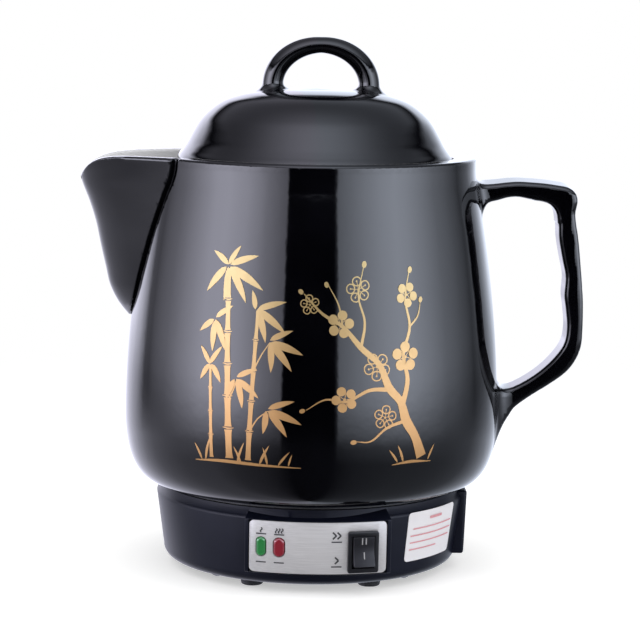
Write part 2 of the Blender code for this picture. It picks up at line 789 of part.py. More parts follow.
def arched_block(name, half_width, half_height, inset, back, material=None):
    """A block with the panel's arched front, set in by some depth."""
    steps = 12
    outline = []
    for step in range(steps + 1):
        x = -half_width + 2 * half_width * step / steps
        outline.append((x, panel_sag(x, inset)))
    outline += [(half_width, back), (-half_width, back)]
    return prism(name, outline, -half_height, half_height, material, parent=PANEL_FRAME_OBJ)


def panel_boss():
    return arched_block("panel_boss", PANEL_W / 2 + PANEL_FRAME,
                        PANEL_H / 2 + PANEL_FRAME_LOW, 0, PANEL_BACK)


def panel_pocket():
    return arched_block("panel_pocket", PANEL_W / 2 + PANEL_FRAME - HOUSING_WALL,
                        PANEL_H / 2 + PANEL_FRAME_LOW - HOUSING_WALL,
                        HOUSING_WALL + PANEL_T, POCKET_BACK)


def panel_recess():
    return panel_slab("panel_recess", PANEL_W / 2 + FIT, PANEL_H / 2 + FIT, -OVERRUN,
                      PANEL_SINK + PANEL_T + FIT)


def panel_slab(name, half_width, half_height, near, far, material=None):
    """A plate that follows the arch between two depths, with round corners."""
    corner = PANEL_CORNER
    columns = 14
    rings = []
    for step in range(columns + 1):
        x = -half_width + 2 * half_width * step / columns
        edge = max(0, abs(x) - (half_width - corner))
        drop = corner - math.sqrt(max(0, corner * corner - edge * edge))
        height = half_height - min(drop, corner - FIT)
        front = panel_sag(x) + near
        back = panel_sag(x) + far
        rings.append([(x, front, -height), (x, front, height), (x, back, height), (x, back, -height)])
    return loft(name, rings, material, parent=PANEL_FRAME_OBJ)


PANEL_FRAME_OBJ = empty("panel_frame", AXIS, PANEL_MATRIX)


def pill(name, width, height, x, near, far, material=None):
    """An upright round-ended bar that runs inward from one depth to another."""
    radius = width / 2
    straight = height / 2 - radius
    outline = []
    steps = 6
    for top in (1, -1):
        for step in range(steps + 1):
            turn = math.pi * step / steps
            outline.append((x + top * radius * math.cos(turn),
                            top * (straight + radius * math.sin(turn))))
    rings = [[(px, depth, pz) for px, pz in outline] for depth in (near, far)]
    return loft(name, rings, material, parent=PANEL_FRAME_OBJ)


def make_panel():
    panel = panel_slab("control_panel", PANEL_W / 2, PANEL_H / 2, PANEL_SINK,
                       PANEL_SINK + PANEL_T, "silver_panel")
    housing = bpy.data.objects["base_housing"]
    through = PANEL_SINK + PANEL_T + HOUSING_WALL + 2 * OVERRUN
    for name, width, x, colour in (("warm", WARM_LENS_W, WARM_LENS_X, "green_lens"),
                                   ("heat", HEAT_LENS_W, HEAT_LENS_X, "red_lens")):
        sag = panel_sag(x)
        hole = pill(f"{name}_lens_hole", width + 2 * FIT, LENS_H + 2 * FIT, x,
                    sag - OVERRUN, sag + through)
        cut(panel, hole)
        cut(housing, hole)
        front = sag + PANEL_SINK - LENS_PROUD
        pill(f"{name}_lens", width, LENS_H, x, front, front + LENS_DEPTH, colour)
    slot = box("switch_hole", (SWITCH_W + 2 * FIT, 2 * through, SWITCH_H + 2 * FIT),
               parent=SWITCH_FRAME_OBJ)
    cut(panel, slot)
    cut(housing, slot)
    return panel


def make_lamps():
    middle = (WARM_LENS_X + HEAT_LENS_X) / 2
    near = panel_sag(WARM_LENS_X) + PANEL_SINK - LENS_PROUD + LENS_DEPTH + FIT
    holder = box("lamp_holder", (HOLDER_W, HOLDER_DEPTH, HOLDER_H), "white_nylon", EDGE_ROUND,
                 parent=PANEL_FRAME_OBJ, location=(middle, near + HOLDER_DEPTH / 2, 0))
    for name, x in (("warm", WARM_LENS_X), ("heat", HEAT_LENS_X)):
        bore = rod(f"{name}_lamp_bore", LAMP_R + FIT, 2 * HOLDER_DEPTH, segments=FINE_SEGMENTS,
                   parent=PANEL_FRAME_OBJ, location=(x, near + HOLDER_DEPTH / 2, 0),
                   rotation=(math.pi / 2, 0, 0))
        cut(holder, bore)
        rod(f"{name}_lamp", LAMP_R, LAMP_LENGTH, "lamp_glass", FINE_SEGMENTS,
            parent=PANEL_FRAME_OBJ, location=(x, near + HOLDER_DEPTH - LAMP_LENGTH / 2, 0),
            rotation=(math.pi / 2, 0, 0))
    return near + HOLDER_DEPTH


# Rocker switch, in a frame whose -Y leaves the flange

SWITCH_TURN = math.asin(ROCKER_X / PANEL_ARC_R)
SWITCH_LOCAL = Matrix.Translation((ROCKER_X, panel_sag(ROCKER_X), ROCKER_RISE)) @ Matrix.Rotation(
    SWITCH_TURN, 4, "Z")
SWITCH_FRAME_OBJ = empty("switch_frame", PANEL_FRAME_OBJ, SWITCH_LOCAL)
FLANGE_BACK = PANEL_SINK - FIT - FLANGE_W * FLANGE_W / (8 * PANEL_ARC_R)
FLANGE_FRONT = FLANGE_BACK - FLANGE_T
PIVOT_Y = FLANGE_FRONT + PIVOT_DEPTH + FLANGE_T


def make_switch():
    frame = box("rocker_housing", (FLANGE_W, FLANGE_T, FLANGE_H), "black_plastic", EDGE_ROUND,
                parent=SWITCH_FRAME_OBJ, location=(0, FLANGE_BACK - FLANGE_T / 2, 0))
    depth = SWITCH_DEPTH + FLANGE_T / 2
    body = box("switch_body", (SWITCH_W, depth, SWITCH_H), parent=SWITCH_FRAME_OBJ,
               location=(0, FLANGE_BACK + SWITCH_DEPTH - depth / 2, 0))
    fuse(frame, body)
    well_depth = WELL_DEPTH + OVERRUN
    well = box("rocker_well", (WELL_W, well_depth, WELL_H), parent=SWITCH_FRAME_OBJ,
               location=(0, FLANGE_FRONT - OVERRUN + well_depth / 2, 0))
    pivot_hole = rod("pivot_hole", PIVOT_R + FIT, SWITCH_W + OVERRUN, segments=FINE_SEGMENTS,
                     parent=SWITCH_FRAME_OBJ, location=(0, PIVOT_Y, 0), rotation=(0, math.pi / 2, 0))
    cut(frame, well, pivot_hole)
    make_key()
    for index in range(3):
        rise = (1 - index) * BLADE_PITCH
        blade_y = FLANGE_BACK + SWITCH_DEPTH + FIT + BLADE_LENGTH / 2
        box(f"switch_terminal_{index + 1}", (BLADE_W, BLADE_LENGTH, BLADE_T), "brass",
            parent=SWITCH_FRAME_OBJ, location=(0, blade_y, rise))
    make_diode()


def make_key():
    """The key tips about its pivot. At rest its upper end is pressed in."""
    axis = empty("rocker_pivot", SWITCH_FRAME_OBJ, Matrix.Translation((0, PIVOT_Y, 0)))
    front = FLANGE_FRONT - PIVOT_Y
    half = (WELL_H / 2 - KEY_PLAY + front * math.sin(KEY_SWING)) / math.cos(KEY_SWING)
    outline = [(front - KEY_END, half), (front - KEY_VALLEY, 0), (front - KEY_END, -half),
               (front, -half), (KEY_UNDER, -half / 2), (KEY_UNDER, half / 2), (front, half)]
    half_w = WELL_W / 2 - KEY_PLAY
    turn = Matrix.Rotation(-KEY_SWING, 3, "X")
    rings = [[turn @ Vector((side, y, z)) for y, z in outline] for side in (-half_w, half_w)]
    key = loft("rocker_key", rings, "black_plastic", parent=axis)
    pin = rod("key_pin", PIVOT_R, SWITCH_W - 2 * FIT, parent=axis, segments=FINE_SEGMENTS,
              rotation=(0, math.pi / 2, 0))
    fuse(key, pin)
    return key


def make_diode():
    side = BLADE_W / 2 + FIT + LEAD_R
    out = side + DIODE_R
    depth = FLANGE_BACK + SWITCH_DEPTH + FIT + BLADE_LENGTH / 2
    lead = [(side, depth, BLADE_PITCH), (out, depth, BLADE_PITCH), (out, depth, -BLADE_PITCH),
            (side, depth, -BLADE_PITCH)]
    diode = tube_mesh("slow_diode", lead, [LEAD_R] * len(lead), "bakelite",
                      parent=SWITCH_FRAME_OBJ)
    fuse(diode, rod("diode_body", DIODE_R, DIODE_LENGTH, parent=SWITCH_FRAME_OBJ,
                    segments=FINE_SEGMENTS, location=(out, depth, 0)))
    return diode


# Power inlet

INLET_Z = HOUSING_Z + INLET_RISE


def inlet_boss():
    height = DECK_UNDER_Z - HOUSING_Z
    return box("inlet_boss", (INLET_BOSS_DEPTH, 2 * INLET_BOSS_HALF_W, height), bevel=EDGE_ROUND,
               location=(INLET_FACE_X - INLET_BOSS_DEPTH / 2, 0, HOUSING_Z + height / 2))


def inlet_pocket():
    """Hollow behind the inlet's face, and room for the inlet's body."""
    depth = INLET_BOSS_DEPTH
    front = INLET_FACE_X - INLET_FLANGE_T - HOUSING_WALL
    high = DECK_UNDER_Z - HOUSING_WALL
    low = COVER_TOP_Z + HOUSING_WALL
    return box("inlet_pocket", (depth, 2 * (INLET_BOSS_HALF_W - HOUSING_WALL), high - low),
               location=(front - depth / 2, 0, (high + low) / 2))


def inlet_recess():
    depth = INLET_FLANGE_T + FIT + OVERRUN
    recess = box("inlet_recess", (depth, INLET_FLANGE_W + 2 * FIT, INLET_FLANGE_H + 2 * FIT),
                 location=(INLET_FACE_X + OVERRUN - depth / 2, 0, INLET_Z))
    hole = box("inlet_hole", (2 * INLET_BOSS_DEPTH, INLET_W + 2 * FIT, INLET_H + 2 * FIT),
               location=(INLET_FACE_X, 0, INLET_Z))
    fuse(recess, hole)
    return recess


def make_inlet():
    face = INLET_FACE_X - FIT
    socket = box("inlet_socket", (INLET_FLANGE_T, INLET_FLANGE_W, INLET_FLANGE_H), "black_plastic",
                 EDGE_ROUND, location=(face - INLET_FLANGE_T / 2, 0, INLET_Z))
    length = INLET_WELL_DEPTH + INLET_BACK_T - INLET_FLANGE_T / 2
    back = face - INLET_WELL_DEPTH - INLET_BACK_T
    fuse(socket, box("inlet_body", (length, INLET_W, INLET_H),
                     location=(back + length / 2, 0, INLET_Z)))
    well = INLET_WELL_DEPTH + OVERRUN
    cut(socket, box("inlet_well", (well, INLET_WELL_W, INLET_WELL_H),
                    location=(face + OVERRUN - well / 2, 0, INLET_Z)))
    tails = {}
    for name, y, rise in (("live", -PIN_SPACING, -PIN_OFFSET), ("neutral", PIN_SPACING, -PIN_OFFSET),
                          ("earth", 0, PIN_OFFSET)):
        low = back - PIN_TAIL
        high = face - PIN_SINK
        spot = ((low + high) / 2, y, INLET_Z + rise)
        box(f"inlet_pin_{name}", (high - low, PIN_W, PIN_H), "brass", location=spot)
        cut(socket, box(f"pin_hole_{name}", (high - low, PIN_W + 2 * FIT, PIN_H + 2 * FIT),
                        location=spot))
        tails[name] = Vector((low - FIT, y, INLET_Z + rise))
    return tails


# Underside

def make_cover():
    cover = turned("bottom_cover", [(0, COVER_TOP_Z), (COVER_R, COVER_TOP_Z), (COVER_R, HOUSING_Z),
                                    (0, HOUSING_Z)], "housing_plastic")
    vents = box("vents", (VENT_LENGTH, VENT_W, COVER_T + 2 * OVERRUN),
                location=(0, -(VENT_COUNT - 1) / 2 * VENT_PITCH, HOUSING_Z + COVER_T / 2))
    rows = vents.modifiers.new("rows", "ARRAY")
    rows.count = VENT_COUNT
    rows.use_relative_offset = False
    rows.use_constant_offset = True
    rows.constant_offset_displace = (0, VENT_PITCH, 0)
    rows.merge_threshold = MERGE
    cut(cover, vents)
    for index, (x, y) in enumerate(screw_places()):
        cut(cover, rod(f"cover_hole_{index}", SCREW_R + FIT, COVER_T + 2 * OVERRUN,
                       location=(x, y, HOUSING_Z + COVER_T / 2), segments=FINE_SEGMENTS))
        make_screw(f"cover_screw_{index + 1}", (x, y, HOUSING_Z - FIT), SCREW_LENGTH)
    for index, (sx, sy) in enumerate(((-1, -1), (1, -1), (-1, 1), (1, 1))):
        spot = (sx * FOOT_X, sy * FOOT_Y)
        cut(cover, rod(f"foot_hole_{index}", FOOT_NECK_R + FIT, COVER_T + 2 * OVERRUN,
                       location=(*spot, HOUSING_Z + COVER_T / 2), segments=FINE_SEGMENTS))
        make_foot(f"rubber_foot_{index + 1}", spot)
    return cover


def make_screw(name, under_head, length):
    """A pan head with its top face up against what it holds, and a plain shank."""
    profile = [(0, length), (SCREW_R, length), (SCREW_R, 0), (SCREW_HEAD_R, 0),
               (SCREW_HEAD_R, -SCREW_HEAD_T / 2), (SCREW_HEAD_R / 2, -SCREW_HEAD_T),
               (0, -SCREW_HEAD_T)]
    return turned(name, profile, "steel", FINE_SEGMENTS, location=under_head)


def make_foot(name, spot):
    seat = HOUSING_Z - FIT
    neck_top = COVER_TOP_Z + FIT
    profile = [(0, neck_top + FOOT_BARB_H), (FOOT_NECK_R / 2, neck_top + FOOT_BARB_H),
               (FOOT_BARB_R, neck_top), (FOOT_NECK_R, neck_top), (FOOT_NECK_R, seat),
               (FOOT_R, seat), (FOOT_R, FOOT_EDGE), (FOOT_R - FOOT_EDGE, 0), (0, 0)]
    return turned(name, profile, "foot_rubber", SMALL_SEGMENTS, location=(*spot, 0))


# Heater stack

def make_gasket():
    low = DECK_TOP_Z + FIT
    high = low + GASKET_T
    return turned("base_gasket", [(GASKET_R, high), (GASKET_R, low), (GASKET_IN_R, low),
                                  (GASKET_IN_R, high)], "silicone")


def disc(name, radius, low, thickness, material):
    high = low + thickness
    return turned(name, [(0, high), (radius, high), (radius, low), (0, low)], material,
                  segments=SEGMENTS // 2)


def cold_ends():
    return [(-math.sqrt(ELEMENT_RING_R ** 2 - COLD_END_SPREAD ** 2), side * COLD_END_SPREAD)
            for side in (-1, 1)]


def make_heater():
    disc("heating_plate", PLATE_R, PLATE_LOW_Z, PLATE_T, "cast_aluminium")
    gap = math.asin(COLD_END_SPREAD / ELEMENT_RING_R)
    ring_steps = 30
    route = [(*cold_ends()[1], ELEMENT_Z - COLD_END_DROP), (*cold_ends()[1], ELEMENT_Z - ELEMENT_R)]
    for step in range(ring_steps + 1):
        turn = math.pi - gap - (2 * math.pi - 2 * gap) * step / ring_steps
        route.append((ELEMENT_RING_R * math.cos(turn), ELEMENT_RING_R * math.sin(turn), ELEMENT_Z))
    route += [(*cold_ends()[0], ELEMENT_Z - ELEMENT_R), (*cold_ends()[0], ELEMENT_Z - COLD_END_DROP)]
    tube("heating_tube", route, ELEMENT_R, "steel")
    insulation = disc("insulation_disc", PAN_R - PAN_T - FIT, INSULATION_LOW_Z, INSULATION_T, "mica")
    pan_high = PAN_LOW_Z + PAN_H
    pan = turned("reflector_pan", [
        (PAN_R, pan_high), (PAN_R, PAN_LOW_Z), (SENSOR_HOLE_R, PAN_LOW_Z),
        (SENSOR_HOLE_R, PAN_LOW_Z + PAN_T), (PAN_R - PAN_T, PAN_LOW_Z + PAN_T),
        (PAN_R - PAN_T, pan_high)], "steel", SEGMENTS // 2)
    depth = COLD_END_DROP
    cut(insulation, rod("sensor_hole", SENSOR_HOLE_R, depth,
                        location=(0, 0, INSULATION_LOW_Z)))
    for index, (x, y) in enumerate(cold_ends()):
        hole = rod(f"cold_hole_{index}", COLD_HOLE_R, depth, segments=FINE_SEGMENTS,
                   location=(x, y, INSULATION_LOW_Z))
        cut(insulation, hole)
        cut(pan, hole)
    make_bar()
    make_thermostat()


def make_bar():
    bar = box("spring_bar", (BAR_W, 2 * (BAR_SCREW_Y + BAR_END), BAR_T), "steel",
              location=(0, 0, BAR_LOW_Z + BAR_T / 2))
    for side in (-1, 1):
        spot = (0, side * BAR_SCREW_Y, BAR_LOW_Z + BAR_T / 2)
        cut(bar, rod(f"bar_hole_{side}", SCREW_R + FIT, BAR_T + 2 * OVERRUN, location=spot,
                     segments=FINE_SEGMENTS))
    make_screw("bar_screw_front", (0, -BAR_SCREW_Y, BAR_LOW_Z - FIT), BAR_SCREW_LENGTH - LUG_T - FIT)
    lug_z = BAR_LOW_Z - FIT - LUG_T
    make_screw("bar_screw_rear", (0, BAR_SCREW_Y, lug_z - FIT), BAR_SCREW_LENGTH)
    lug = rod("earth_lug", LUG_R, LUG_T, "brass", FINE_SEGMENTS,
              location=(0, BAR_SCREW_Y, lug_z + LUG_T / 2))
    fuse(lug, box("lug_tail", (LUG_TAIL_W, LUG_TAIL, LUG_T),
                  location=(0, BAR_SCREW_Y - LUG_TAIL / 2 - LUG_R / 2, lug_z + LUG_T / 2)))
    cut(lug, rod("lug_hole", SCREW_R + FIT, 2 * OVERRUN, location=(0, BAR_SCREW_Y, lug_z),
                 segments=FINE_SEGMENTS))


def make_thermostat():
    low = BAR_TOP_Z + FIT
    high = PLATE_LOW_Z - FIT
    body = rod("thermostat", THERMOSTAT_R, high - low, "bakelite", location=(0, 0, (low + high) / 2))
    fuse(body, box("thermostat_tabs", (2 * (THERMOSTAT_R + THERMOSTAT_TAB), TAB_W, TAB_T),
                   location=(0, 0, low + 2 * TAB_T)))
    fuse_z = BAR_LOW_Z - FIT - FUSE_R
    rod("thermal_fuse", FUSE_R, FUSE_LENGTH, "white_nylon", FINE_SEGMENTS,
        location=(0, FUSE_Y, fuse_z), rotation=(0, math.pi / 2, 0))


# Terminal block and wires

def make_block():
    low = COVER_TOP_Z + FIT
    block = box("terminal_block", (BLOCK_W, BLOCK_D, BLOCK_H), "white_nylon", EDGE_ROUND,
                location=(BLOCK_X, BLOCK_Y, low + BLOCK_H / 2))
    ports = []
    for index in (-1, 0, 1):
        x = BLOCK_X + index * PORT_PITCH
        middle = low + BLOCK_H / 2
        cut(block, rod(f"port_{index}", PORT_R, BLOCK_D + 2 * OVERRUN, segments=FINE_SEGMENTS,
                       location=(x, BLOCK_Y, middle), rotation=(math.pi / 2, 0, 0)))
        ports.append(Vector((x, BLOCK_Y - BLOCK_D / 4, middle)))
    return ports


def make_wires(tails, ports, lamp_back):
    """Each wire leaves its first piece and enters its second along their own directions."""
    to_axis = PANEL_MATRIX @ SWITCH_LOCAL
    blade_end = FLANGE_BACK + SWITCH_DEPTH + 2 * FIT + BLADE_LENGTH
    blades = [to_axis @ Vector((0, blade_end, (1 - index) * BLADE_PITCH)) for index in range(3)]
    inward = to_axis.to_3x3() @ Vector((0, 1, 0))
    lamps = [PANEL_MATRIX @ Vector((x, lamp_back + FIT, 0)) for x in (WARM_LENS_X, HEAT_LENS_X)]
    lamp_way = PANEL_MATRIX.to_3x3() @ Vector((0, 1, 0))
    down = Vector((0, 0, -1))
    along = Vector((1, 0, 0))
    front = Vector((0, -1, 0))
    fuse_z = BAR_LOW_Z - FIT - FUSE_R
    fuse_end = [Vector((side * (FUSE_LENGTH / 2 + FIT), FUSE_Y, fuse_z)) for side in (-1, 1)]
    tab_x = THERMOSTAT_R + THERMOSTAT_TAB / 2
    tab_z = BAR_TOP_Z + 3 * TAB_T / 2
    tabs = [Vector((side * tab_x, 0, tab_z)) for side in (-1, 1)]
    ends = [Vector((x, y, ELEMENT_Z - COLD_END_DROP - FIT)) for x, y in cold_ends()]
    lug = Vector((0, BAR_SCREW_Y - 3 * LUG_TAIL / 4, BAR_LOW_Z - LUG_T - 2 * FIT - WIRE_R))
    room = WIRE_SWING
    far = 2 * room
    near = room / 2
    routes = (
        ("wire_live", "wire_red", tails["live"], -along * room, blades[1], inward * room),
        ("wire_neutral", "wire_blue", tails["neutral"], -along * far, ports[2], front * far),
        ("wire_earth", "wire_yellow", tails["earth"], -along * room, lug, front * room),
        ("wire_switch", "wire_red", blades[0], inward * room, fuse_end[1], along * room),
        ("wire_fuse", "wire_white", fuse_end[0], -along * near, tabs[0], down * near),
        ("wire_thermostat", "wire_white", tabs[1], down * room, ends[0], down * near),
        ("wire_element", "wire_white", ends[1], down * room, ports[0], front * room),
        ("wire_warm_lamp", "wire_blue", lamps[0], lamp_way * room, ports[1], front * room),
        ("wire_heat_lamp", "wire_red", lamps[1], lamp_way * room, blades[2], inward * room),
    )
    for name, colour, start, leave, end, enter in routes:
        out = start + leave.normalized() * WIRE_STRAIGHT
        back = end + enter.normalized() * WIRE_STRAIGHT
        bend = bezier(out, out + leave, back + enter, back, WIRE_STEPS)
        tube(name, [start] + bend + [end], WIRE_R, colour)


# Label

def make_label():
    columns = 8
    rings = []
    low = HOUSING_Z + LABEL_RISE
    high = low + LABEL_H
    for step in range(columns + 1):
        angle = LABEL_FROM + (LABEL_TO - LABEL_FROM) * step / columns
        ring = []
        for height, lift in ((low, FIT), (high, FIT), (high, FIT + LABEL_T), (low, FIT + LABEL_T)):
            radius = housing_radius(height) + lift
            ring.append((radius * math.sin(angle), -radius * math.cos(angle), height))
        rings.append(ring)
    return loft("side_label", rings, "white_label")


make_jug()
make_lid()
make_gasket()
make_housing()
make_panel()
LAMP_BACK = make_lamps()
make_switch()
TAILS = make_inlet()
make_cover()
make_heater()
make_wires(TAILS, make_block(), LAMP_BACK)
make_label()
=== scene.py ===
"""Electric herbal medicine pot: its visible pieces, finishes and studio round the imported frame.

Metres, +Z up. The jug's own axis stands at AXIS_X. The spout points to -X, the
handle to +X and the control panel faces -Y.
"""
import math

import bmesh
import bpy
import numpy as np
from mathutils import Matrix, Vector


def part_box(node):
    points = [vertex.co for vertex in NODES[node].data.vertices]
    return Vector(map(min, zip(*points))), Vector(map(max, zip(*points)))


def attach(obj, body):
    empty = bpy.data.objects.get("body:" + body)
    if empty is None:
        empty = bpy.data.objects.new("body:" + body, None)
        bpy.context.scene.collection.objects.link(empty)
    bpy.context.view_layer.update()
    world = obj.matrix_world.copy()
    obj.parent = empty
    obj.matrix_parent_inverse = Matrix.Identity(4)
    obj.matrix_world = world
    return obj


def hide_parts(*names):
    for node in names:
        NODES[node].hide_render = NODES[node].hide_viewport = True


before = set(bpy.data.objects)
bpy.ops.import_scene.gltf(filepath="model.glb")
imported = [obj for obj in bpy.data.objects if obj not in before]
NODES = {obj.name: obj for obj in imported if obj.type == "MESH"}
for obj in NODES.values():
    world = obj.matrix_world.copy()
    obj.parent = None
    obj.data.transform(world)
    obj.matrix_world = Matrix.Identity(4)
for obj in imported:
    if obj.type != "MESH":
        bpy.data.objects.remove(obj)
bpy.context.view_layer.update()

# Places that the frame gives
GASKET_LOW, GASKET_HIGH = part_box("base_gasket")
POT_LOW, POT_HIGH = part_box("ceramic_pot")
LID_LOW, LID_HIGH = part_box("ceramic_lid")
HOUSING_LOW, HOUSING_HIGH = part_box("base_housing")
COVER_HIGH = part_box("bottom_cover")[1]
AXIS_X = (GASKET_LOW.x + GASKET_HIGH.x) / 2
SPOUT_REACH = AXIS_X - POT_LOW.x
HANDLE_REACH = POT_HIGH.x - AXIS_X
BELLY_R = POT_HIGH.y
FOOT_Z = POT_LOW.z
RIM_Z = POT_HIGH.z

# Jug. The neck's curve runs on to NECK_END, as a share of its rise
NECK_STEP = 0.0134
BOWL_STEP = 0.0175
RIM_T = 0.0112
LEDGE_W = 0.0044
LEDGE_DROP = 0.0045
LEDGE_T = 0.0050
BELLY_RISE = 0.0336
RIM_BAND_H = 0.008
RIM_ROUND = 0.0018
RIM_INNER_ROUND = 0.0012
JUG_WALL = 0.006
FLOOR_T = 0.006
FLOOR_ROUND = 0.014
FOOT_RING_T = 0.0113
FOOT_RING_H = 0.0065
FOOT_EDGE = 0.0008
NECK_CURVE = 1.72
NECK_END = 1.3
BOWL_CURVE = 2.4

RIM_R = BELLY_R - NECK_STEP
FOOT_R = BELLY_R - BOWL_STEP
OPENING_R = RIM_R - RIM_T
LEDGE_R = OPENING_R - LEDGE_W
BELLY_Z = FOOT_Z + BELLY_RISE
RIM_LOW_Z = RIM_Z - RIM_BAND_H
LEDGE_Z = RIM_Z - LEDGE_DROP
LEDGE_LOW_Z = LEDGE_Z - LEDGE_T
FLOOR_UNDER_Z = FOOT_Z + FOOT_RING_H
FLOOR_Z = FLOOR_UNDER_Z + FLOOR_T

# Spout: height share, share of its reach past the belly and width share of each level
SPOUT_H = 0.0807
SPOUT_HALF_W = 0.038
SPOUT_WALL = 0.0060
LIP_LENGTH = 0.0063
LIP_FALL = 0.0124
LIP_EDGE = 0.0010
LIP_END = 0.5
CHANNEL_ROUND = 0.0022
CREASE = 0.0005
PALE_EDGE = 0.0026
GROOVE_HALF_W = 0.0020
GROOVE_DEPTH = 0.0022
GROOVE_SKEW = 0.58
SPOUT_NOSE = 1.55
NOSE_END = 1.5
CHANNEL_RISE = 0.014
CHANNEL_START = 0.050
SPOUT_START = 0.040
SPOUT_LEAST = 0.020
SPOUT_SHARES = np.array((
    (-0.30, -1.40, 0.14), (-0.16, -0.78, 0.25), (-0.05, -0.22, 0.39), (0.04, 0.083, 0.56),
    (0.167, 0.335, 0.755), (0.289, 0.440, 0.855), (0.418, 0.542, 0.94), (0.575, 0.658, 1.01),
    (0.704, 0.800, 1.055), (0.795, 0.925, 1.08), (0.855, 1.0, 1.10), (1.04, 1.45, 1.145),
))

# Handle: reach share, height share and thickness share along its middle line. Its top bar is tilted
HANDLE_ROOT_INSET = 0.0138
HANDLE_TOP_RISE = 0.1521
HANDLE_LOW_RISE = 0.0223
HANDLE_HALF_T = 0.0055
HANDLE_HALF_W = 0.0100
HANDLE_TILT = 0.075
TILT_RISE = (-0.034, -0.014)
HANDLE_EDGE = 0.0026
HANDLE_STEPS = 90
TOP_FLARE = 0.005
LOW_FLARE = 0.009
HANDLE_SHARES = np.array((
    (-0.10, 0.930, 1.45), (0.007, 0.936, 1.13), (0.082, 0.948, 0.88), (0.197, 0.957, 0.77),
    (0.272, 0.964, 0.70), (0.378, 0.968, 0.70), (0.501, 0.962, 0.79), (0.616, 0.957, 0.82),
    (0.719, 0.952, 0.80), (0.805, 0.943, 0.83), (0.828, 0.923, 0.83), (0.817, 0.880, 0.76),
    (0.824, 0.831, 0.80), (0.837, 0.781, 0.88), (0.855, 0.731, 0.85), (0.870, 0.690, 0.80),
    (0.892, 0.630, 0.73), (0.896, 0.559, 0.85),
    (0.907, 0.508, 0.80), (0.916, 0.428, 0.72), (0.895, 0.355, 0.80), (0.808, 0.292, 0.87),
    (0.668, 0.238, 0.76), (0.510, 0.192, 0.72), (0.350, 0.150, 0.90), (0.261, 0.123, 1.24),
    (0.154, 0.098, 1.70), (0.05, 0.075, 2.0), (-0.04, 0.055, 2.2),
))

# Web in the inner corner of the handle: middle and radius of its curve, and its thickness
WEB_X = HANDLE_REACH - 0.0265
WEB_Z = RIM_Z - 0.0314
WEB_R = 0.0119
WEB_T = 0.0060

# Lid and its loop. A share of the radius and one of the height run down the lid's outer side
LID_PLAY = 0.001
LID_EDGE_GAP = 0.0006
LID_WALL = 0.0045
SKIRT_H = 0.0065
SKIRT_T = 0.0045
LID_EDGE_ROUND = 0.0016
LOOP_X = 0.0024
LOOP_HALF_SPAN = 0.024
LOOP_RISE = 0.0201
LOOP_TOP_T = 0.0040
LOOP_SIDE_T = 0.0052
LOOP_FOOT_T = 0.0068
LOOP_WIDE = 1.5
LOOP_SECTION = 1.9
LOOP_FLARE = 0.0045
LOOP_LEAST_W = 0.55
LOOP_STEPS = 41
LID_SHARES = np.array((
    (0.0, 1.0), (0.204, 0.992), (0.394, 0.965), (0.554, 0.909), (0.676, 0.825), (0.742, 0.745),
    (0.793, 0.664), (0.834, 0.583), (0.863, 0.505), (0.888, 0.425), (0.912, 0.344),
    (0.935, 0.263), (0.964, 0.183), (0.994, 0.102), (1.0, 0.045), (0.994, 0.0),
))
LID_R = OPENING_R - LID_EDGE_GAP
LID_Z = LID_LOW.z + SKIRT_H
LID_H = 0.0372
SKIRT_R = LEDGE_R - LID_PLAY

# Gaps, merging of doubled points, fineness of what is turned, and edge angles
FIT = 0.0003
MERGE = 0.00001
SPIN_STEPS = 160
ARC_STEPS = 22
SMOOTH_ANGLE = math.radians(32)
EDGE_ANGLE = math.radians(40)
CROWN_ANGLE = math.radians(60)
MM_PER_M = 1000
AXIS = Matrix.Translation((AXIS_X, 0, 0))

# Heating base
HOUSING_Z = HOUSING_LOW.z
DECK_Z = HOUSING_HIGH.z
HOUSING_R = HOUSING_HIGH.y
COVER_R = COVER_HIGH.y
COVER_Z = COVER_HIGH.z
HOUSING_FOOT_R = COVER_R + 0.0066
HOUSING_WALL = 0.0025
HOUSING_SLIM = 0.0007
GASKET_LAP = 0.0015
SHOULDER_STEP = 0.0020
SHOULDER_DROP = 0.0029
SHOULDER_ROUND = 0.0026
SHOULDER_TURN = math.radians(50)
SHOULDER_STEPS = 5
HEM_ROUND = 0.0052
HEM_STEPS = 9
DECK_OPENING_R = FOOT_R - FOOT_RING_T - 0.005
TAPER_TOP_Z = DECK_Z - SHOULDER_DROP - SHOULDER_ROUND
TAPER_LOW_Z = HOUSING_Z + HEM_ROUND
TAPER_ANGLE = math.atan((HOUSING_R - HOUSING_FOOT_R) / (TAPER_TOP_Z - TAPER_LOW_Z))

# Control panel, in a frame whose -Y leaves it. A lens has its place across, its width and its slot
PANEL_X = 0.0029
PANEL_Z = HOUSING_Z + 0.0194
PANEL_W = 0.066
PANEL_H = 0.0262
PANEL_T = 0.0012
PANEL_ARC_R = 0.140
PANEL_SIDE = 0.0022
PANEL_EDGE = 0.0005
PANEL_PROUD = 0.0012
PANEL_SINK = 0.0004
PANEL_CORNER = 0.0025
PANEL_CORNER_STEPS = 6
PLATE_EDGE = 0.00015
PANEL_BACK = 0.0121
BOSS_SLOPE = 0.0035
BOSS_EDGE = 0.0006
LENS_H = 0.0096
LENS_PROUD = 0.0009
LENS_DEPTH = 0.0050
LENS_CROWN = 0.0012
LENS_STEPS = 32
LENSES = {"warm_lens": (-0.0272, 0.0046, "green_lens"), "heat_lens": (-0.0186, 0.0054, "red_lens")}
TAPER_SHARE = (PANEL_Z - TAPER_LOW_Z) / (TAPER_TOP_Z - TAPER_LOW_Z)
PANEL_WALL_R = HOUSING_FOOT_R + (HOUSING_R - HOUSING_FOOT_R) * TAPER_SHARE
PANEL_FRAME = AXIS @ Matrix.Translation((PANEL_X, -PANEL_WALL_R - PANEL_PROUD, PANEL_Z))
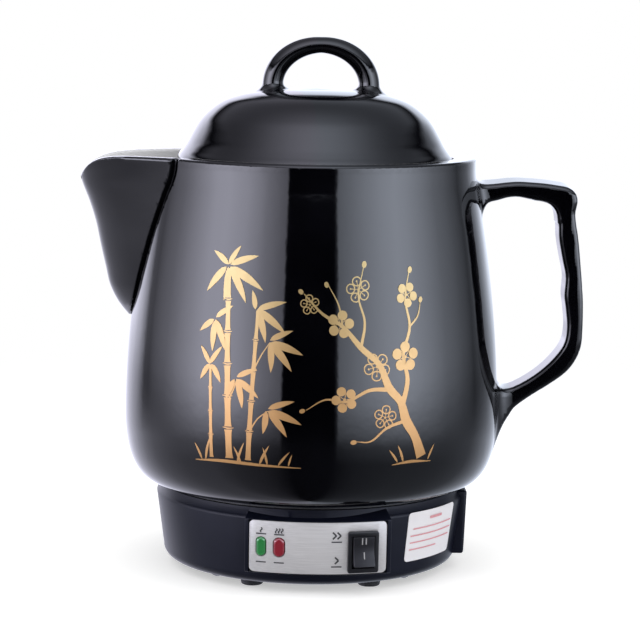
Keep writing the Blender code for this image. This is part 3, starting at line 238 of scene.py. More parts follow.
PANEL_FRAME = PANEL_FRAME @ Matrix.Rotation(TAPER_ANGLE, 4, "X")

# Rocker switch, in a frame whose -Y leaves its flange
ROCKER_X = 0.0214
ROCKER_RISE = -0.0014
FLANGE_W = 0.015
FLANGE_H = 0.021
FLANGE_T = 0.002
FLANGE_CORNER = 0.0012
FLANGE_EDGE = 0.0005
SWITCH_W = 0.013
SWITCH_H = 0.0192
SWITCH_DEPTH = 0.014
WELL_W = 0.0112
WELL_H = 0.0164
WELL_DEPTH = 0.009
KEY_PLAY = 0.0005
KEY_VALLEY = 0.0016
KEY_END = 0.0032
KEY_UNDER = 0.0030
KEY_SWING = math.radians(12)
KEY_CURVE = 1.5
KEY_END_SHARE = 0.9
KEY_EDGE = 0.0004
PIVOT_DEPTH = 0.0012
FLANGE_BACK = PANEL_SINK - FIT - FLANGE_W ** 2 / (8 * PANEL_ARC_R)
FLANGE_FRONT = FLANGE_BACK - FLANGE_T
PIVOT_Y = FLANGE_FRONT + PIVOT_DEPTH + FLANGE_T
ROCKER_SAG = PANEL_ARC_R - math.sqrt(PANEL_ARC_R ** 2 - ROCKER_X ** 2)
ROCKER_TURN = Matrix.Rotation(math.asin(ROCKER_X / PANEL_ARC_R), 4, "Z")
SWITCH_FRAME = PANEL_FRAME @ Matrix.Translation((ROCKER_X, ROCKER_SAG, ROCKER_RISE)) @ ROCKER_TURN
KEY_FRAME = SWITCH_FRAME @ Matrix.Translation((0, PIVOT_Y, 0)) @ Matrix.Rotation(-KEY_SWING, 4, "X")
KEY_HALF = (WELL_H / 2 - KEY_PLAY + (FLANGE_FRONT - PIVOT_Y) * math.sin(KEY_SWING)) / math.cos(KEY_SWING)
KEY_MARK_LIFT = 0.00012

# Power inlet under the handle
INLET_FACE_X = HOUSING_R - 0.0011
INLET_Z = HOUSING_Z + 0.0177
INLET_BOSS_W = 0.040
INLET_BOSS_DEPTH = 0.0125
INLET_BOSS_FOOT = 0.0042
INLET_BOSS_LEAN = 0.0012
INLET_BOSS_ROUND = 0.0014
INLET_FLANGE_W = 0.031
INLET_FLANGE_H = 0.024
INLET_FLANGE_T = 0.0018
INLET_W = 0.027
INLET_H = 0.020
INLET_WELL_W = 0.0245
INLET_WELL_H = 0.0165
INLET_WELL_DEPTH = 0.0165
INLET_BACK_T = 0.0034
INLET_CORNER = 0.002
INLET_EDGE = 0.0004
INLET_WELL_EDGE = 0.001

# Rubber feet
RUBBER_ROUND = 0.0009
RUBBER_HOLLOW = 0.0006
RUBBER_STEPS = 48

# Label on the wall, by angle from the front towards the handle. A line has the shares of the
# label's width where it starts and ends, its share of the height, and its own width
LABEL_FROM = math.radians(37.2)
LABEL_TO = math.radians(65.2)
LABEL_H = 0.0248
LABEL_LOW_Z = HOUSING_Z + 0.0090
LABEL_T = 0.0002
LABEL_CORNER = 0.0019
LABEL_STEPS = 12
LABEL_CORNER_STEPS = 5
RULE_STEPS = 4
LABEL_LINES = ((0.40, 0.66, 0.84, 0.0013), (0.10, 0.95, 0.66, 0.0006), (0.06, 0.95, 0.52, 0.0006),
               (0.06, 0.92, 0.38, 0.0006), (0.06, 0.60, 0.24, 0.0006))

# Prints: thickness, lift off the surface, and a step so that crossing strokes don't share a face
PRINT_T = 0.00008
PRINT_LIFT = 0.00005
PRINT_LAYERS = 7
PRINT_STEP = 0.00002

# Marks on the panel and on the key, in millimetres from their middles
SIGN_BAR_HALF = 2.4
SIGN_BAR_W = 0.6
SIGN_BAR_HIGH = 6.5
SIGN_BAR_LOW = -7.8
WAVE = ((0, 7.2, 0.5), (-0.4, 7.9, 0.6), (0.4, 8.9, 0.6), (0, 9.7, 0.4))
WAVES = {"warm_lens": (0,), "heat_lens": (-1.4, 0, 1.4)}
ARROWS = ((6.6, (7.0, 9.2)), (-6.0, (8.2,)))
ARROW_SIZE = 1.7
ARROW_W = 0.8
ARROW_BAR = (6.4, 11.4)
ARROW_BAR_DROP = 3.2
KEY_MARKS = ((-0.9, 3.6), (0.9, 3.6), (0, -3.4))
KEY_MARK_H = 3.2
KEY_MARK_W = 0.55

# Brushwork. Flowers are given as shares of their size, and the rim of a bamboo joint is in millimetres
STROKE_STEPS = 6
LEAF_STEPS = 7
LEAF_BEND = 0.12
LEAF_SWELL = (0.75, 0.8)
DAB_STEPS = 8
PETALS = 5
PETAL_TURN = 72
PETAL_STEPS = 10
PETAL_LINE = 0.55
DRAWN_PETAL = (0.66, 0.34, 0.36)
FILLED_PETAL = (0.30, 0.70, 0.72)
DRAWN_STAMEN = ((0.15, 0.3), (0.4, 0.3), (0.62, 0.3))
FILLED_STAMEN = ((0.13, 0.3), (0.3, 0.35), (0.5, 0.25))
STAMEN_TIP = (0.6, 0.14)
HEART = 0.22
JOINT_GAP = 0.008
STALK_TAPER = 0.35
STALK_SHARES = ((0, 1.22), (0.12, 1.0), (0.5, 0.9), (0.88, 1.0), (1, 1.22))
JOINT_RIM = ((-0.8, 0.3, 0.3), (0, -0.1, 0.7), (0.8, 0.3, 0.3))

# Bamboo and plum blossom, in millimetres from the front and above the table. A stalk has its foot,
# top, width and number of segments, and a branch its points and widths. A leaf and a bud have their
# place, direction, length and width. A blossom has its place, size and turn, and whether it is drawn
# in outline
STALKS = (((-41, 67.5), (-45.5, 158), 3.5, 6), ((-31.5, 67.5), (-28.5, 139), 2.6, 5),
          ((-50.5, 67.5), (-52.5, 112), 1.9, 4))
BRANCHES = (
    ((54, 69, 5.6), (50, 79, 4.4), (45, 87, 4.9), (42, 96, 3.8), (36, 103, 3.9), (31, 114, 2.8),
     (22, 122, 2.7), (13, 132, 1.8), (3, 138, 1.3), (-6, 147, 0.5)),
    ((43, 94, 2.8), (46, 106, 2.3), (44, 118, 1.6), (48, 131, 1.4), (46, 144, 0.9), (49, 157, 0.4)),
    ((37, 102, 2.2), (26, 102, 1.6), (15, 97, 1.2), (5, 98, 0.8), (-4, 93, 0.35)),
    ((22, 122, 1.6), (24, 134, 1.1), (21, 146, 0.8), (24, 160, 0.35)),
    ((48, 131, 1.0), (53, 136, 0.7), (55, 143, 0.3)),
    ((45, 87, 1.8), (35, 84, 1.2), (27, 78, 0.8), (20, 78, 0.3)),
    ((13, 132, 1.0), (11, 142, 0.7), (6, 151, 0.3)),
    ((-43, 124, 0.8), (-47, 127, 0.6), (-51, 133, 0.4)),
    ((-29.5, 111, 0.8), (-26, 118, 0.6), (-22, 124, 0.4)),
    ((-42, 96, 0.8), (-39.5, 101, 0.6), (-38, 106, 0.4)),
    ((-30.8, 82, 0.8), (-27, 88, 0.6), (-22, 92, 0.4)),
    ((-60, 65.6, 0.4), (-44, 66.6, 1.5), (-24, 66.0, 1.2), (-6, 65.4, 0.3)),
    ((38, 66.0, 0.3), (48, 67.0, 1.4), (60, 66.2, 0.3)),
)
LEAVES = (
    (-45, 158, -22, 21, 4.0), (-45, 158, -52, 19, 3.8), (-46, 158, -88, 16, 3.4), (-47, 158, -138, 16, 3.6),
    (-45, 159, 24, 16, 3.2), (-46, 159, 62, 11, 2.6), (-46, 159, 140, 11, 2.8),
    (-51, 133, -60, 15, 3.4), (-51, 133, -100, 15, 3.4), (-52, 133, -150, 10, 2.8), (-51, 134, 40, 11, 2.6),
    (-29, 139, -30, 18, 3.6), (-29, 139, -66, 16, 3.4), (-29, 139, 22, 15, 3.0), (-30, 139, 96, 9, 2.6),
    (-22, 124, -12, 17, 3.6), (-22, 124, -44, 17, 3.6), (-22, 124, -80, 14, 3.2), (-22, 125, 30, 12, 2.8),
    (-38, 106, -30, 14, 3.2), (-38, 106, -70, 14, 3.2), (-38, 107, 30, 11, 2.6), (-39, 106, -120, 11, 2.8),
    (-22, 92, -14, 17, 3.6), (-22, 92, -46, 15, 3.4), (-22, 93, 24, 13, 2.8), (-23, 92, -90, 11, 3.0),
    (-53, 112, 60, 11, 2.4), (-53, 112, 118, 10, 2.4), (-53, 112, -130, 9, 2.6), (-52, 112, -50, 10, 2.8),
    (-56, 66, 112, 9, 1.2), (-54, 66, 84, 12, 1.3), (-37, 66, 78, 11, 1.2), (-35, 66, 108, 9, 1.1),
    (-26, 66, 70, 11, 1.3), (-22, 66, 98, 9, 1.1), (-17, 66, 58, 9, 1.1), (-12, 66, 80, 6, 0.9),
    (44, 67, 104, 9, 1.2), (41, 67, 120, 8, 1.1), (58, 67, 70, 8, 1.1),
)
BLOSSOMS = (
    (45, 117, 7.2, 18, False), (30, 113, 6.6, 50, True), (12, 133, 6.6, 5, False), (21, 149, 6.0, 30, True),
    (47, 146, 6.0, 60, False), (14, 98, 6.2, 40, False), (34, 89, 5.6, 10, True), (-3, 142, 4.6, 25, True),
)
BUDS = (
    (-6.5, 147, 140, 2.8, 2.2), (24, 159, 80, 3.2, 2.4), (49, 156, 70, 3.2, 2.4), (-4.5, 93, 200, 2.8, 2.0),
    (5.5, 150, 110, 2.8, 2.2), (54.5, 142, 70, 2.8, 2.2), (20, 78, 190, 3.0, 2.2),
)

# Finishes: a dark and a light tone, and then the roughness. A moulded one can have its grain and the
# depth of its pits, and a brushed one has its metallic share and can have the scale of its scratches
MOULDED = {
    "housing_plastic": ((0.0035, 0.0045, 0.0105), (0.0060, 0.0070, 0.0150), 0.36),
    "black_plastic": ((0.006, 0.006, 0.008), (0.012, 0.012, 0.015), 0.30),
    "key_plastic": ((0.009, 0.009, 0.012), (0.014, 0.014, 0.018), 0.34),
    "foot_rubber": ((0.009, 0.009, 0.010), (0.016, 0.016, 0.017), 0.62, 1400),
    "silicone": ((0.016, 0.016, 0.018), (0.024, 0.024, 0.026), 0.5, 1200),
    "white_label": ((0.88, 0.87, 0.91), (0.93, 0.92, 0.96), 0.42, 3000, 0.00001),
    "white_nylon": ((0.62, 0.61, 0.58), (0.72, 0.71, 0.68), 0.45),
    "mica": ((0.36, 0.31, 0.24), (0.52, 0.47, 0.39), 0.5, 500, 0.0001),
    "bakelite": ((0.045, 0.026, 0.018), (0.075, 0.043, 0.030), 0.35),
    "mark_ink": ((0.045, 0.045, 0.050), (0.060, 0.060, 0.065), 0.5),
    "pale_ink": ((0.30, 0.30, 0.32), (0.36, 0.36, 0.38), 0.5),
    "rose_ink": ((0.74, 0.30, 0.34), (0.80, 0.38, 0.42), 0.5),
}
BRUSHED = {
    "silver_panel": ((0.62, 0.61, 0.63), (0.72, 0.71, 0.73), 0.38, 0.25),
    "black_screw": ((0.020, 0.020, 0.022), (0.034, 0.034, 0.036), 0.40, 0.8),
    "cast_aluminium": ((0.48, 0.48, 0.49), (0.60, 0.60, 0.61), 0.45, 1.0, (900, 900, 900)),
    "steel": ((0.44, 0.44, 0.45), (0.56, 0.56, 0.57), 0.30, 1.0),
    "brass": ((0.54, 0.37, 0.13), (0.66, 0.47, 0.18), 0.30, 1.0),
}
CLEAR = {
    "green_lens": ((0.012, 0.17, 0.04), (0.04, 0.30, 0.08)),
    "red_lens": ((0.20, 0.008, 0.02), (0.34, 0.02, 0.04)),
    "lamp_glass": ((0.5, 0.42, 0.38), (0.7, 0.6, 0.55)),
}
WIRE_TONES = {"red": (0.35, 0.02, 0.02), "blue": (0.02, 0.06, 0.30), "yellow": (0.45, 0.35, 0.03),
              "white": (0.66, 0.65, 0.62)}
WIRE_LIGHTER = 1.3
WIRE_ROUGH = 0.42
WIRE_GRAIN = 900
PLASTIC_GRAIN = 2600
PLASTIC_PITS = 0.00004
SCRATCHES = (40, 2200, 2200)
SPECULAR = {"housing_plastic": 0.16, "key_plastic": 0.28}
GLAZE_TONES = ((0.0008, 0.0008, 0.0015), (0.0018, 0.0018, 0.0030))
INNER_TONES = ((0.80, 0.80, 0.82), (0.87, 0.87, 0.89))
GOLD_TONES = ((0.48, 0.26, 0.10), (0.39, 0.29, 0.125))
GOLD_RISE = (0.070, 0.165)
GOLD_METALLIC = 0.42
PAPER_TONES = ((0.78, 0.78, 0.78), (0.80, 0.80, 0.80))
WHITE = (1, 1, 1, 1)

# Studio: the levels that gloss sees by angle round the pot, from the front towards the handle. A
# ramp holds 32 stops at most
FLOOR_R = 6.0
FLOOR_STEPS = 96
FLOOR_LIFT = 0.45
FLOOR_FADE = (0.25, 0.70)
PLAIN_LEVEL = 0.85
SKY_PEAK = 8.0
WARM_SIDE = (0.94, 0.94, 1.12)
COOL_SIDE = (0.90, 0.97, 1.13)
SIDE_FADE = (-0.3, 0.3)
SOFT_BOXES = ((-180, 1.7), (-150, 2.7), (-138, 2.3), (-131, 1.4), (-127, 0.5), (-121, 0.5), (-112, 1.1),
              (-103, 1.7), (-96, 2.5), (-84, 4.3), (-72, 6.3), (-62, 6.8), (-48, 5.8), (-39, 4.5),
              (-33, 3.3), (-22, 2.0), (-19, 1.8), (-18.5, 0.0), (14, 0.0), (14.5, 2.0), (24, 2.9),
              (34, 3.9), (46, 5.0), (56, 5.5), (64, 5.0), (74, 3.9), (90, 2.0), (106, 0.9), (118, 0.3),
              (136, 0.6), (158, 1.8), (180, 1.7))
BOX_TOP = (18, 26)
BOX_FOOT = (-13, -1.5)
BOX_TAIL = (-24, -8)
TAIL_SHARE = 0.09
TABLE = ((-180, 1.8), (-140, 1.4), (-115, 0.85), (-90, 0.65), (-66, 0.62), (-50, 0.38), (-30, 0.24),
         (-13, 0.03), (12, 0.03), (28, 0.18), (60, 0.32), (90, 0.34), (115, 0.4), (140, 0.9), (180, 1.8))
TABLE_RISE = (-13, -6)
BRIDGE = (16, 19)
BRIDGE_LEVEL = 2.4
FRONT_GAP = (math.radians(20), math.radians(30))
ROOF_WAY = (0, math.radians(50))
ROOF_LEVEL = 2.8
ROOF_FLOOR = 0.13
ROOF_POWER = 4
ROOF_FOOT = (24, 36)
AIM = (0, 0, 0.12)
LAMPS = (("overhead", (0.1, -0.2, 1.5), (1.6, 1.2), 6.0),
         ("left", (-1.3, -0.8, 0.9), (1.0, 1.2), 3.0),
         ("right", (1.3, -0.8, 0.9), (1.0, 1.2), 3.0))

# Camera, worked out from the ellipses of the rim and the base
SENSOR = 36.0
LENS = 130.2
CAMERA_AWAY = 1.156
CAMERA_Z = 0.2786
CAMERA_TURN = math.radians(-1.0)
CAMERA_ASIDE = math.radians(0.186)
CAMERA_DOWN = math.radians(7.67)
CAMERA_ROLL = math.radians(0.9)

# Fineness of the two fired pieces, and how their skins settle
JUG_GRAIN = 0.0020
LID_GRAIN = 0.0013
PROBE = 0.00002
FAR = 1e9
LEAST_SLOPE = 0.05
SLOPE_STEPS = 3
EVEN_ROUNDS = 3
EVEN_SHARE = 0.5
JUG_TURNS = (math.radians(24), math.radians(24))
LID_TURNS = (math.radians(28),)


# Fired clay: each form is a field that is below nought inside the clay

def soft_min(a, b, round_over):
    share = np.clip(0.5 + 0.5 * (b - a) / round_over, 0, 1)
    return b + (a - b) * share - round_over * share * (1 - share)


def soft_max(a, b, round_over):
    return -soft_min(-a, -b, round_over)


def eased(at, knots, values):
    """A smooth curve through given values, level with its ends beyond them."""
    slopes = np.gradient(values, knots)
    index = np.clip(np.searchsorted(knots, at) - 1, 0, len(knots) - 2)
    span = knots[index + 1] - knots[index]
    t = np.clip((at - knots[index]) / span, 0, 1)
    low, high = values[index], values[index + 1]
    bend = (slopes[index] * (1 - t) - slopes[index + 1] * t) * span
    return low + (high - low) * t * t * (3 - 2 * t) + bend * t * (1 - t)


def wall_field(r, z):
    """Outer wall of the jug, from the groove above the base up through the rim."""
    rise = np.clip((z - BELLY_Z) / (RIM_LOW_Z - BELLY_Z), 0, NECK_END)
    cone = RIM_R + (BELLY_R - RIM_R) * (1 - rise ** NECK_CURVE)
    neck = r - soft_max(cone, RIM_R + 0 * cone, RIM_ROUND / 2)
    fall = np.clip((BELLY_Z - z) / (BELLY_Z - FOOT_Z), 0, None)
    reach = np.clip((r - FOOT_R) / (BELLY_R - FOOT_R), 0, None)
    bowl = ((reach ** BOWL_CURVE + fall ** BOWL_CURVE) ** (1 / BOWL_CURVE) - 1) * (BELLY_R - FOOT_R)
    return np.where(z > BELLY_Z, neck, bowl)


def spout_field(x, y, z):
    """Outer skin of the spout, and its half width, at each point."""
    level = (z - (RIM_Z - SPOUT_H)) / SPOUT_H
    reach = BELLY_R + eased(level, SPOUT_SHARES[:, 0], SPOUT_SHARES[:, 1]) * (SPOUT_REACH - BELLY_R)
    half = SPOUT_HALF_W * eased(level, SPOUT_SHARES[:, 0], SPOUT_SHARES[:, 2])
    root = np.sqrt(RIM_R ** 2 - half ** 2)
    depth = np.maximum(reach - root, SPOUT_LEAST)
    across = np.abs(y) / half
    nose = reach - depth * across ** SPOUT_NOSE
    lean = depth * SPOUT_NOSE * np.minimum(across, NOSE_END) ** (SPOUT_NOSE - 1) / half
    return np.maximum((-x - nose) / np.sqrt(1 + lean ** 2), x + SPOUT_START), half


def lip_field(x, z):
    """Above the pouring lip, which is level and then falls ever faster to its tip."""
    fall = LIP_FALL * np.exp(np.minimum((-x - SPOUT_REACH) / LIP_LENGTH, LIP_END))
    return (z - RIM_Z + fall) / np.sqrt(1 + (fall / LIP_LENGTH) ** 2)


def along_route(x, z, route):
    """Distance from a route of (x, z, half thickness) points, and the half thickness there."""
    nearest = np.full(x.shape, FAR)
    thickness = np.zeros(x.shape)
    for start, end in zip(route, route[1:]):
        run_x, run_z = end[0] - start[0], end[1] - start[1]
        t = ((x - start[0]) * run_x + (z - start[1]) * run_z) / (run_x ** 2 + run_z ** 2)
        t = np.clip(t, 0, 1)
        away = np.hypot(x - start[0] - t * run_x, z - start[1] - t * run_z)
        closer = away < nearest
        nearest = np.where(closer, away, nearest)
        thickness = np.where(closer, start[2] + t * (end[2] - start[2]), thickness)
    return nearest, thickness


def smooth_route(table, steps):
    knots = np.arange(len(table), dtype=float)
    fine = np.linspace(0, knots[-1], steps)
    return np.stack([eased(fine, knots, column) for column in table.T], 1)


def handle_route():
    reach, height, thick = HANDLE_SHARES.T
    root_x = BELLY_R - HANDLE_ROOT_INSET
    table = np.stack((root_x + reach * (HANDLE_REACH - root_x),
                      FOOT_Z + HANDLE_LOW_RISE + height * (HANDLE_TOP_RISE - HANDLE_LOW_RISE),
                      thick * HANDLE_HALF_T), 1)
    return smooth_route(table, HANDLE_STEPS)


HANDLE_ROUTE = handle_route()


def handle_field(x, y, z):
    """A strap with flat sides and rounded edges."""
    near = (x > FOOT_R / 2) & (np.abs(y) < 4 * HANDLE_HALF_W)
    field = np.full(x.shape, HANDLE_REACH)
    tilted = np.clip((z[near] - RIM_Z - TILT_RISE[0]) / (TILT_RISE[1] - TILT_RISE[0]), 0, 1)
    height = z[near] - y[near] * HANDLE_TILT * tilted
    away, thickness = along_route(x[near], height, HANDLE_ROUTE)
    over, up = x[near] - WEB_X, height - WEB_Z
    web = np.maximum(WEB_R - np.hypot(over, up), np.maximum(over, up) - WEB_R - WEB_T / 2)
    web = np.maximum(web, -np.minimum(over, up))
    outline = soft_min(away - thickness, web, WEB_T / 3)
    field[near] = soft_max(outline, np.abs(y[near]) - HANDLE_HALF_W, HANDLE_EDGE)
    return field


def jug_field(at):
    """The whole jug: wall, spout, crease line, handle and foot ring, less its inside."""
    x, y, z = at[:, 0] - AXIS_X, at[:, 1], at[:, 2]
    r = np.hypot(x, y)
    wall = wall_field(r, z)
    spout = spout_field(x, y, z)[0]
    edge = np.where(-x > BELLY_R, LIP_EDGE, RIM_ROUND)
    outside = soft_max(soft_min(wall, spout, CREASE), lip_field(x, z), edge)
    aside = np.abs(wall - spout) / GROOVE_SKEW - GROOVE_HALF_W
    slot = soft_max(aside, -(wall + spout) / 2 - GROOVE_DEPTH, CREASE)
    outside = soft_max(outside, -slot, CREASE)
    flare = TOP_FLARE + (LOW_FLARE - TOP_FLARE) * np.clip((RIM_LOW_Z - z) / (RIM_LOW_Z - BELLY_Z), 0, 1)
    outside = soft_min(outside, handle_field(x, y, z), flare)
    outside = soft_max(outside, FOOT_Z - z, FOOT_EDGE)
    clay = soft_max(outside, -hollow_field(at), RIM_INNER_ROUND)
    foot = soft_max(r - FOOT_R + FOOT_RING_T, z - FLOOR_UNDER_Z, FOOT_EDGE)
    return soft_max(clay, -foot, FOOT_EDGE)


def hollow_field(at):
    """The jug's inside: bowl, ledge for the lid, and the channel into the spout."""
    x, y, z = at[:, 0] - AXIS_X, at[:, 1], at[:, 2]
    r = np.hypot(x, y)
    wall = wall_field(r, z)
    spout, half = spout_field(x, y, z)
    under_ledge = (z - LEDGE_LOW_Z + (r - LEDGE_R) / 2) * 2 / math.sqrt(5)
    inside = soft_max(wall + JUG_WALL, FLOOR_Z - z, FLOOR_ROUND)
    inside = soft_max(inside, under_ledge, LEDGE_W)
    inside = soft_min(inside, soft_max(r - LEDGE_R, BELLY_Z - z, LEDGE_W), RIM_INNER_ROUND)
    inside = soft_min(inside, soft_max(r - OPENING_R, LEDGE_Z - z, FOOT_EDGE), FOOT_EDGE)
    channel = soft_max(spout + SPOUT_WALL, np.abs(y) - half + SPOUT_WALL, CHANNEL_ROUND)
    channel = soft_max(channel, x + CHANNEL_START, CHANNEL_ROUND)
    channel = soft_max(channel, RIM_Z - SPOUT_H + CHANNEL_RISE - z, CHANNEL_ROUND)
    return soft_min(inside, channel, RIM_INNER_ROUND)


def cast_jug():
    """The jug, whose inside is marked to be coloured pale."""
    jug = cast("jug", jug_field, POT_LOW, POT_HIGH, JUG_GRAIN, JUG_TURNS)
    depth = hollow_field(points_of(jug.data))
    inner = jug.data.attributes.new("pale_inside", "FLOAT", "POINT")
    inner.data.foreach_set("value", np.clip(1 - depth / PALE_EDGE, 0, 1))
    return jug


def loop_route():
    """The lid's loop: an arch on two short feet."""
    turn = np.linspace(0, math.pi, LOOP_STEPS)
    side = np.abs(np.cos(turn))
    thick = LOOP_TOP_T + (LOOP_SIDE_T - LOOP_TOP_T) * side
    base = LID_HIGH.z - LOOP_RISE - LOOP_TOP_T - FIT / 10
    arch = np.stack((LOOP_X + LOOP_HALF_SPAN * np.cos(turn), base + LOOP_RISE * np.sin(turn), thick), 1)
    foot = [[LOOP_X + end * LOOP_HALF_SPAN, base - LOOP_SIDE_T, LOOP_FOOT_T] for end in (1, -1)]
    return np.concatenate(([foot[0]], arch, [foot[1]]))


LOOP_ROUTE = loop_route()


def dome_radius(turn):
    """Distance of the lid's outer side from the middle of its seat, by angle of rise."""
    r, z = LID_SHARES[:, 0] * LID_R, LID_SHARES[:, 1] * LID_H
    rise = np.arctan2(z, r)[::-1]
    return eased(turn, rise, np.hypot(r, z)[::-1])


def lid_field(at):
    """The whole lid: dome, skirt and loop, less its inside."""
    x, y, z = at[:, 0] - AXIS_X, at[:, 1], at[:, 2]
    r = np.hypot(x, y)
    turn = np.arctan2(np.clip(z - LID_Z, 0, None), r)
    distance = np.hypot(r, z - LID_Z)
    shell = distance - dome_radius(turn)
    dome = soft_max(shell, LID_Z - z, LID_EDGE_ROUND)
    skirt = soft_max(r - SKIRT_R, np.abs(z - LID_Z) - SKIRT_H, LID_EDGE_ROUND)
    outside = soft_min(dome, skirt, FOOT_EDGE)
    away, thickness = along_route(x, z, LOOP_ROUTE)
    width = LOOP_TOP_T * LOOP_WIDE * (LOOP_LEAST_W + (1 - LOOP_LEAST_W) * thickness / LOOP_TOP_T)
    oval = (away / thickness) ** LOOP_SECTION + (np.abs(y) / width) ** LOOP_SECTION
    oval = oval ** (1 / LOOP_SECTION)
    loop = (oval - 1) * thickness
    outside = soft_min(outside, loop, LOOP_FLARE)
    inside = soft_max(shell + LID_WALL, r - SKIRT_R + SKIRT_T, SKIRT_T)
    return soft_max(outside, -inside, LID_EDGE_ROUND)


def points_of(mesh):
    points = np.zeros(len(mesh.vertices) * 3)
    mesh.vertices.foreach_get("co", points)
    return points.reshape(-1, 3)


def gradient(field, at):
    here = field(at)
    slope = np.empty_like(at)
    for axis in range(3):
        moved = at.copy()
        moved[:, axis] += PROBE
        slope[:, axis] = (field(moved) - here) / PROBE
    return here, slope


def settled(field, points, grain):
    """Move points along the field's slope until they lie on the form."""
    for step in range(SLOPE_STEPS):
        here, slope = gradient(field, points)
        steep = np.maximum((slope ** 2).sum(1), LEAST_SLOPE)
        points = points - np.clip(here / steep, -grain, grain)[:, None] * slope
    return points, slope / np.linalg.norm(slope, axis=1, keepdims=True)


def refine(mesh, field, turn, grain):
    """Halve the edges across which the form turns sharply."""
    normal = settled(field, points_of(mesh), 0)[1]
    ends = np.zeros(len(mesh.edges) * 2, dtype=int)
    mesh.edges.foreach_get("vertices", ends)
    ends = ends.reshape(-1, 2)
    bends = (normal[ends[:, 0]] * normal[ends[:, 1]]).sum(1) < math.cos(turn)
    work = bmesh.new()
    work.from_mesh(mesh)
    work.edges.ensure_lookup_table()
    sharp = [work.edges[index] for index in np.flatnonzero(bends)]
    bmesh.ops.subdivide_edges(work, edges=sharp, cuts=1, use_grid_fill=True)
    work.to_mesh(mesh)
    work.free()
    points = settled(field, points_of(mesh), grain / 2)[0]
    mesh.vertices.foreach_set("co", points.ravel())
    mesh.update()


def skin(field, low, high, grain):
    """A point for each grid cell that the form's surface crosses, and a quad round each crossed edge."""
    low, high = np.array(low) - 2 * grain, np.array(high) + 2 * grain
    counts = np.ceil((high - low) / grain).astype(int) + 1
    steps = [low[axis] + grain * np.arange(counts[axis]) for axis in range(3)]
    grid = np.stack(np.meshgrid(*steps, indexing="ij"), -1)
    value = np.concatenate([field(slab.reshape(-1, 3)) for slab in grid]).reshape(counts)
    inside = value < 0
    cell_counts = counts - 1
    total = np.zeros((*cell_counts, 3))
    crossings = np.zeros(cell_counts)
    quads = []
    for axis in range(3):
        near = [slice(None)] * 3
        far = [slice(None)] * 3
        near[axis], far[axis] = slice(None, -1), slice(1, None)
        near, far = tuple(near), tuple(far)
        crossed = inside[near] != inside[far]
        share = np.where(crossed, value[near] / np.where(crossed, value[near] - value[far], 1), 0)
        spot = grid[near].copy()
        spot[..., axis] += share * grain
        one, two = [other for other in range(3) if other != axis]
        for shift_one in (0, 1):
            for shift_two in (0, 1):
                part = [slice(None)] * 3
                part[one] = slice(shift_one, cell_counts[one] + shift_one)
                part[two] = slice(shift_two, cell_counts[two] + shift_two)
                part = tuple(part)
                total += np.where(crossed[part][..., None], spot[part], 0)
                crossings += crossed[part]
        place = np.argwhere(crossed)
        place = place[(place[:, one] > 0) & (place[:, two] > 0)]
        flip = inside[near][tuple(place.T)] == (axis == 1)
        ring = []
        for shift_one, shift_two in ((1, 1), (0, 1), (0, 0), (1, 0)):
            cell = place.copy()
            cell[:, one] -= shift_one
            cell[:, two] -= shift_two
            ring.append(np.ravel_multi_index(tuple(cell.T), cell_counts))
        ring = np.stack(ring, 1)
        quads.append(np.where(flip[:, None], ring[:, ::-1], ring))
    quads = np.concatenate(quads)
    used, quads = np.unique(quads, return_inverse=True)
    quads = quads.reshape(-1, 4)
    points = (total.reshape(-1, 3) / np.maximum(crossings.reshape(-1, 1), 1))[used]
    return points, quads


def evened(field, points, quads, grain):
    """Settle points onto the form, and draw each along it towards the middle of its neighbours."""
    edges = np.concatenate([quads[:, (i, (i + 1) % 4)] for i in range(4)])
    points, normal = settled(field, points, grain)
    for evening in range(EVEN_ROUNDS):
        sums = np.zeros_like(points)
        counted = np.zeros(len(points))
        np.add.at(sums, edges[:, 0], points[edges[:, 1]])
        np.add.at(counted, edges[:, 0], 1)
        drift = sums / counted[:, None] - points
        points += EVEN_SHARE * (drift - (drift * normal).sum(1, keepdims=True) * normal)
        points, normal = settled(field, points, grain)
    return points


def cast(name, field, low, high, grain, turns):
    """A piece whose surface is where its field is nought, refined once for each of the turns."""
    points, quads = skin(field, low, high, grain)
    points = evened(field, points, quads, grain)
    mesh = bpy.data.meshes.new(name)
    mesh.from_pydata(points.tolist(), [], quads.tolist())
    mesh.update()
    for turn in turns:
        refine(mesh, field, turn, grain)
    mesh.shade_smooth()
    normal = settled(field, points_of(mesh), 0)[1]
    mesh.normals_split_custom_set_from_vertices(normal.tolist())
    return put_in(name, mesh)


# Modelling by hand: each helper starts from a primitive and works in edit mode

def put_in(name, data):
    """A new object in the scene."""
    piece = bpy.data.objects.new(name, data)
    bpy.context.scene.collection.objects.link(piece)
    return piece


def pick(piece):
    bpy.ops.object.select_all(action="DESELECT")
    piece.select_set(True)
    bpy.context.view_layer.objects.active = piece


def edit(piece):
    pick(piece)
    bpy.ops.object.mode_set(mode="EDIT")


def object_mode():
    bpy.ops.object.mode_set(mode="OBJECT")


def settle(piece, name, matrix=None):
    """Name a finished piece and put its place into its mesh."""
    if bpy.context.mode != "OBJECT":
        object_mode()
    piece.name = name
    piece.data.name = name
    piece.data.transform(piece.matrix_basis)
    piece.matrix_basis = Matrix.Identity(4)
    if matrix:
        piece.data.transform(matrix)
    return piece


def heal():
    """Merge doubled points and turn all faces outwards, in edit mode."""
    bpy.ops.mesh.select_all(action="SELECT")
    bpy.ops.mesh.remove_doubles(threshold=MERGE)
    bpy.ops.mesh.normals_make_consistent(inside=False)


def smooth(piece):
    pick(piece)
    bpy.ops.object.shade_smooth_by_angle(angle=SMOOTH_ANGLE)
    return piece


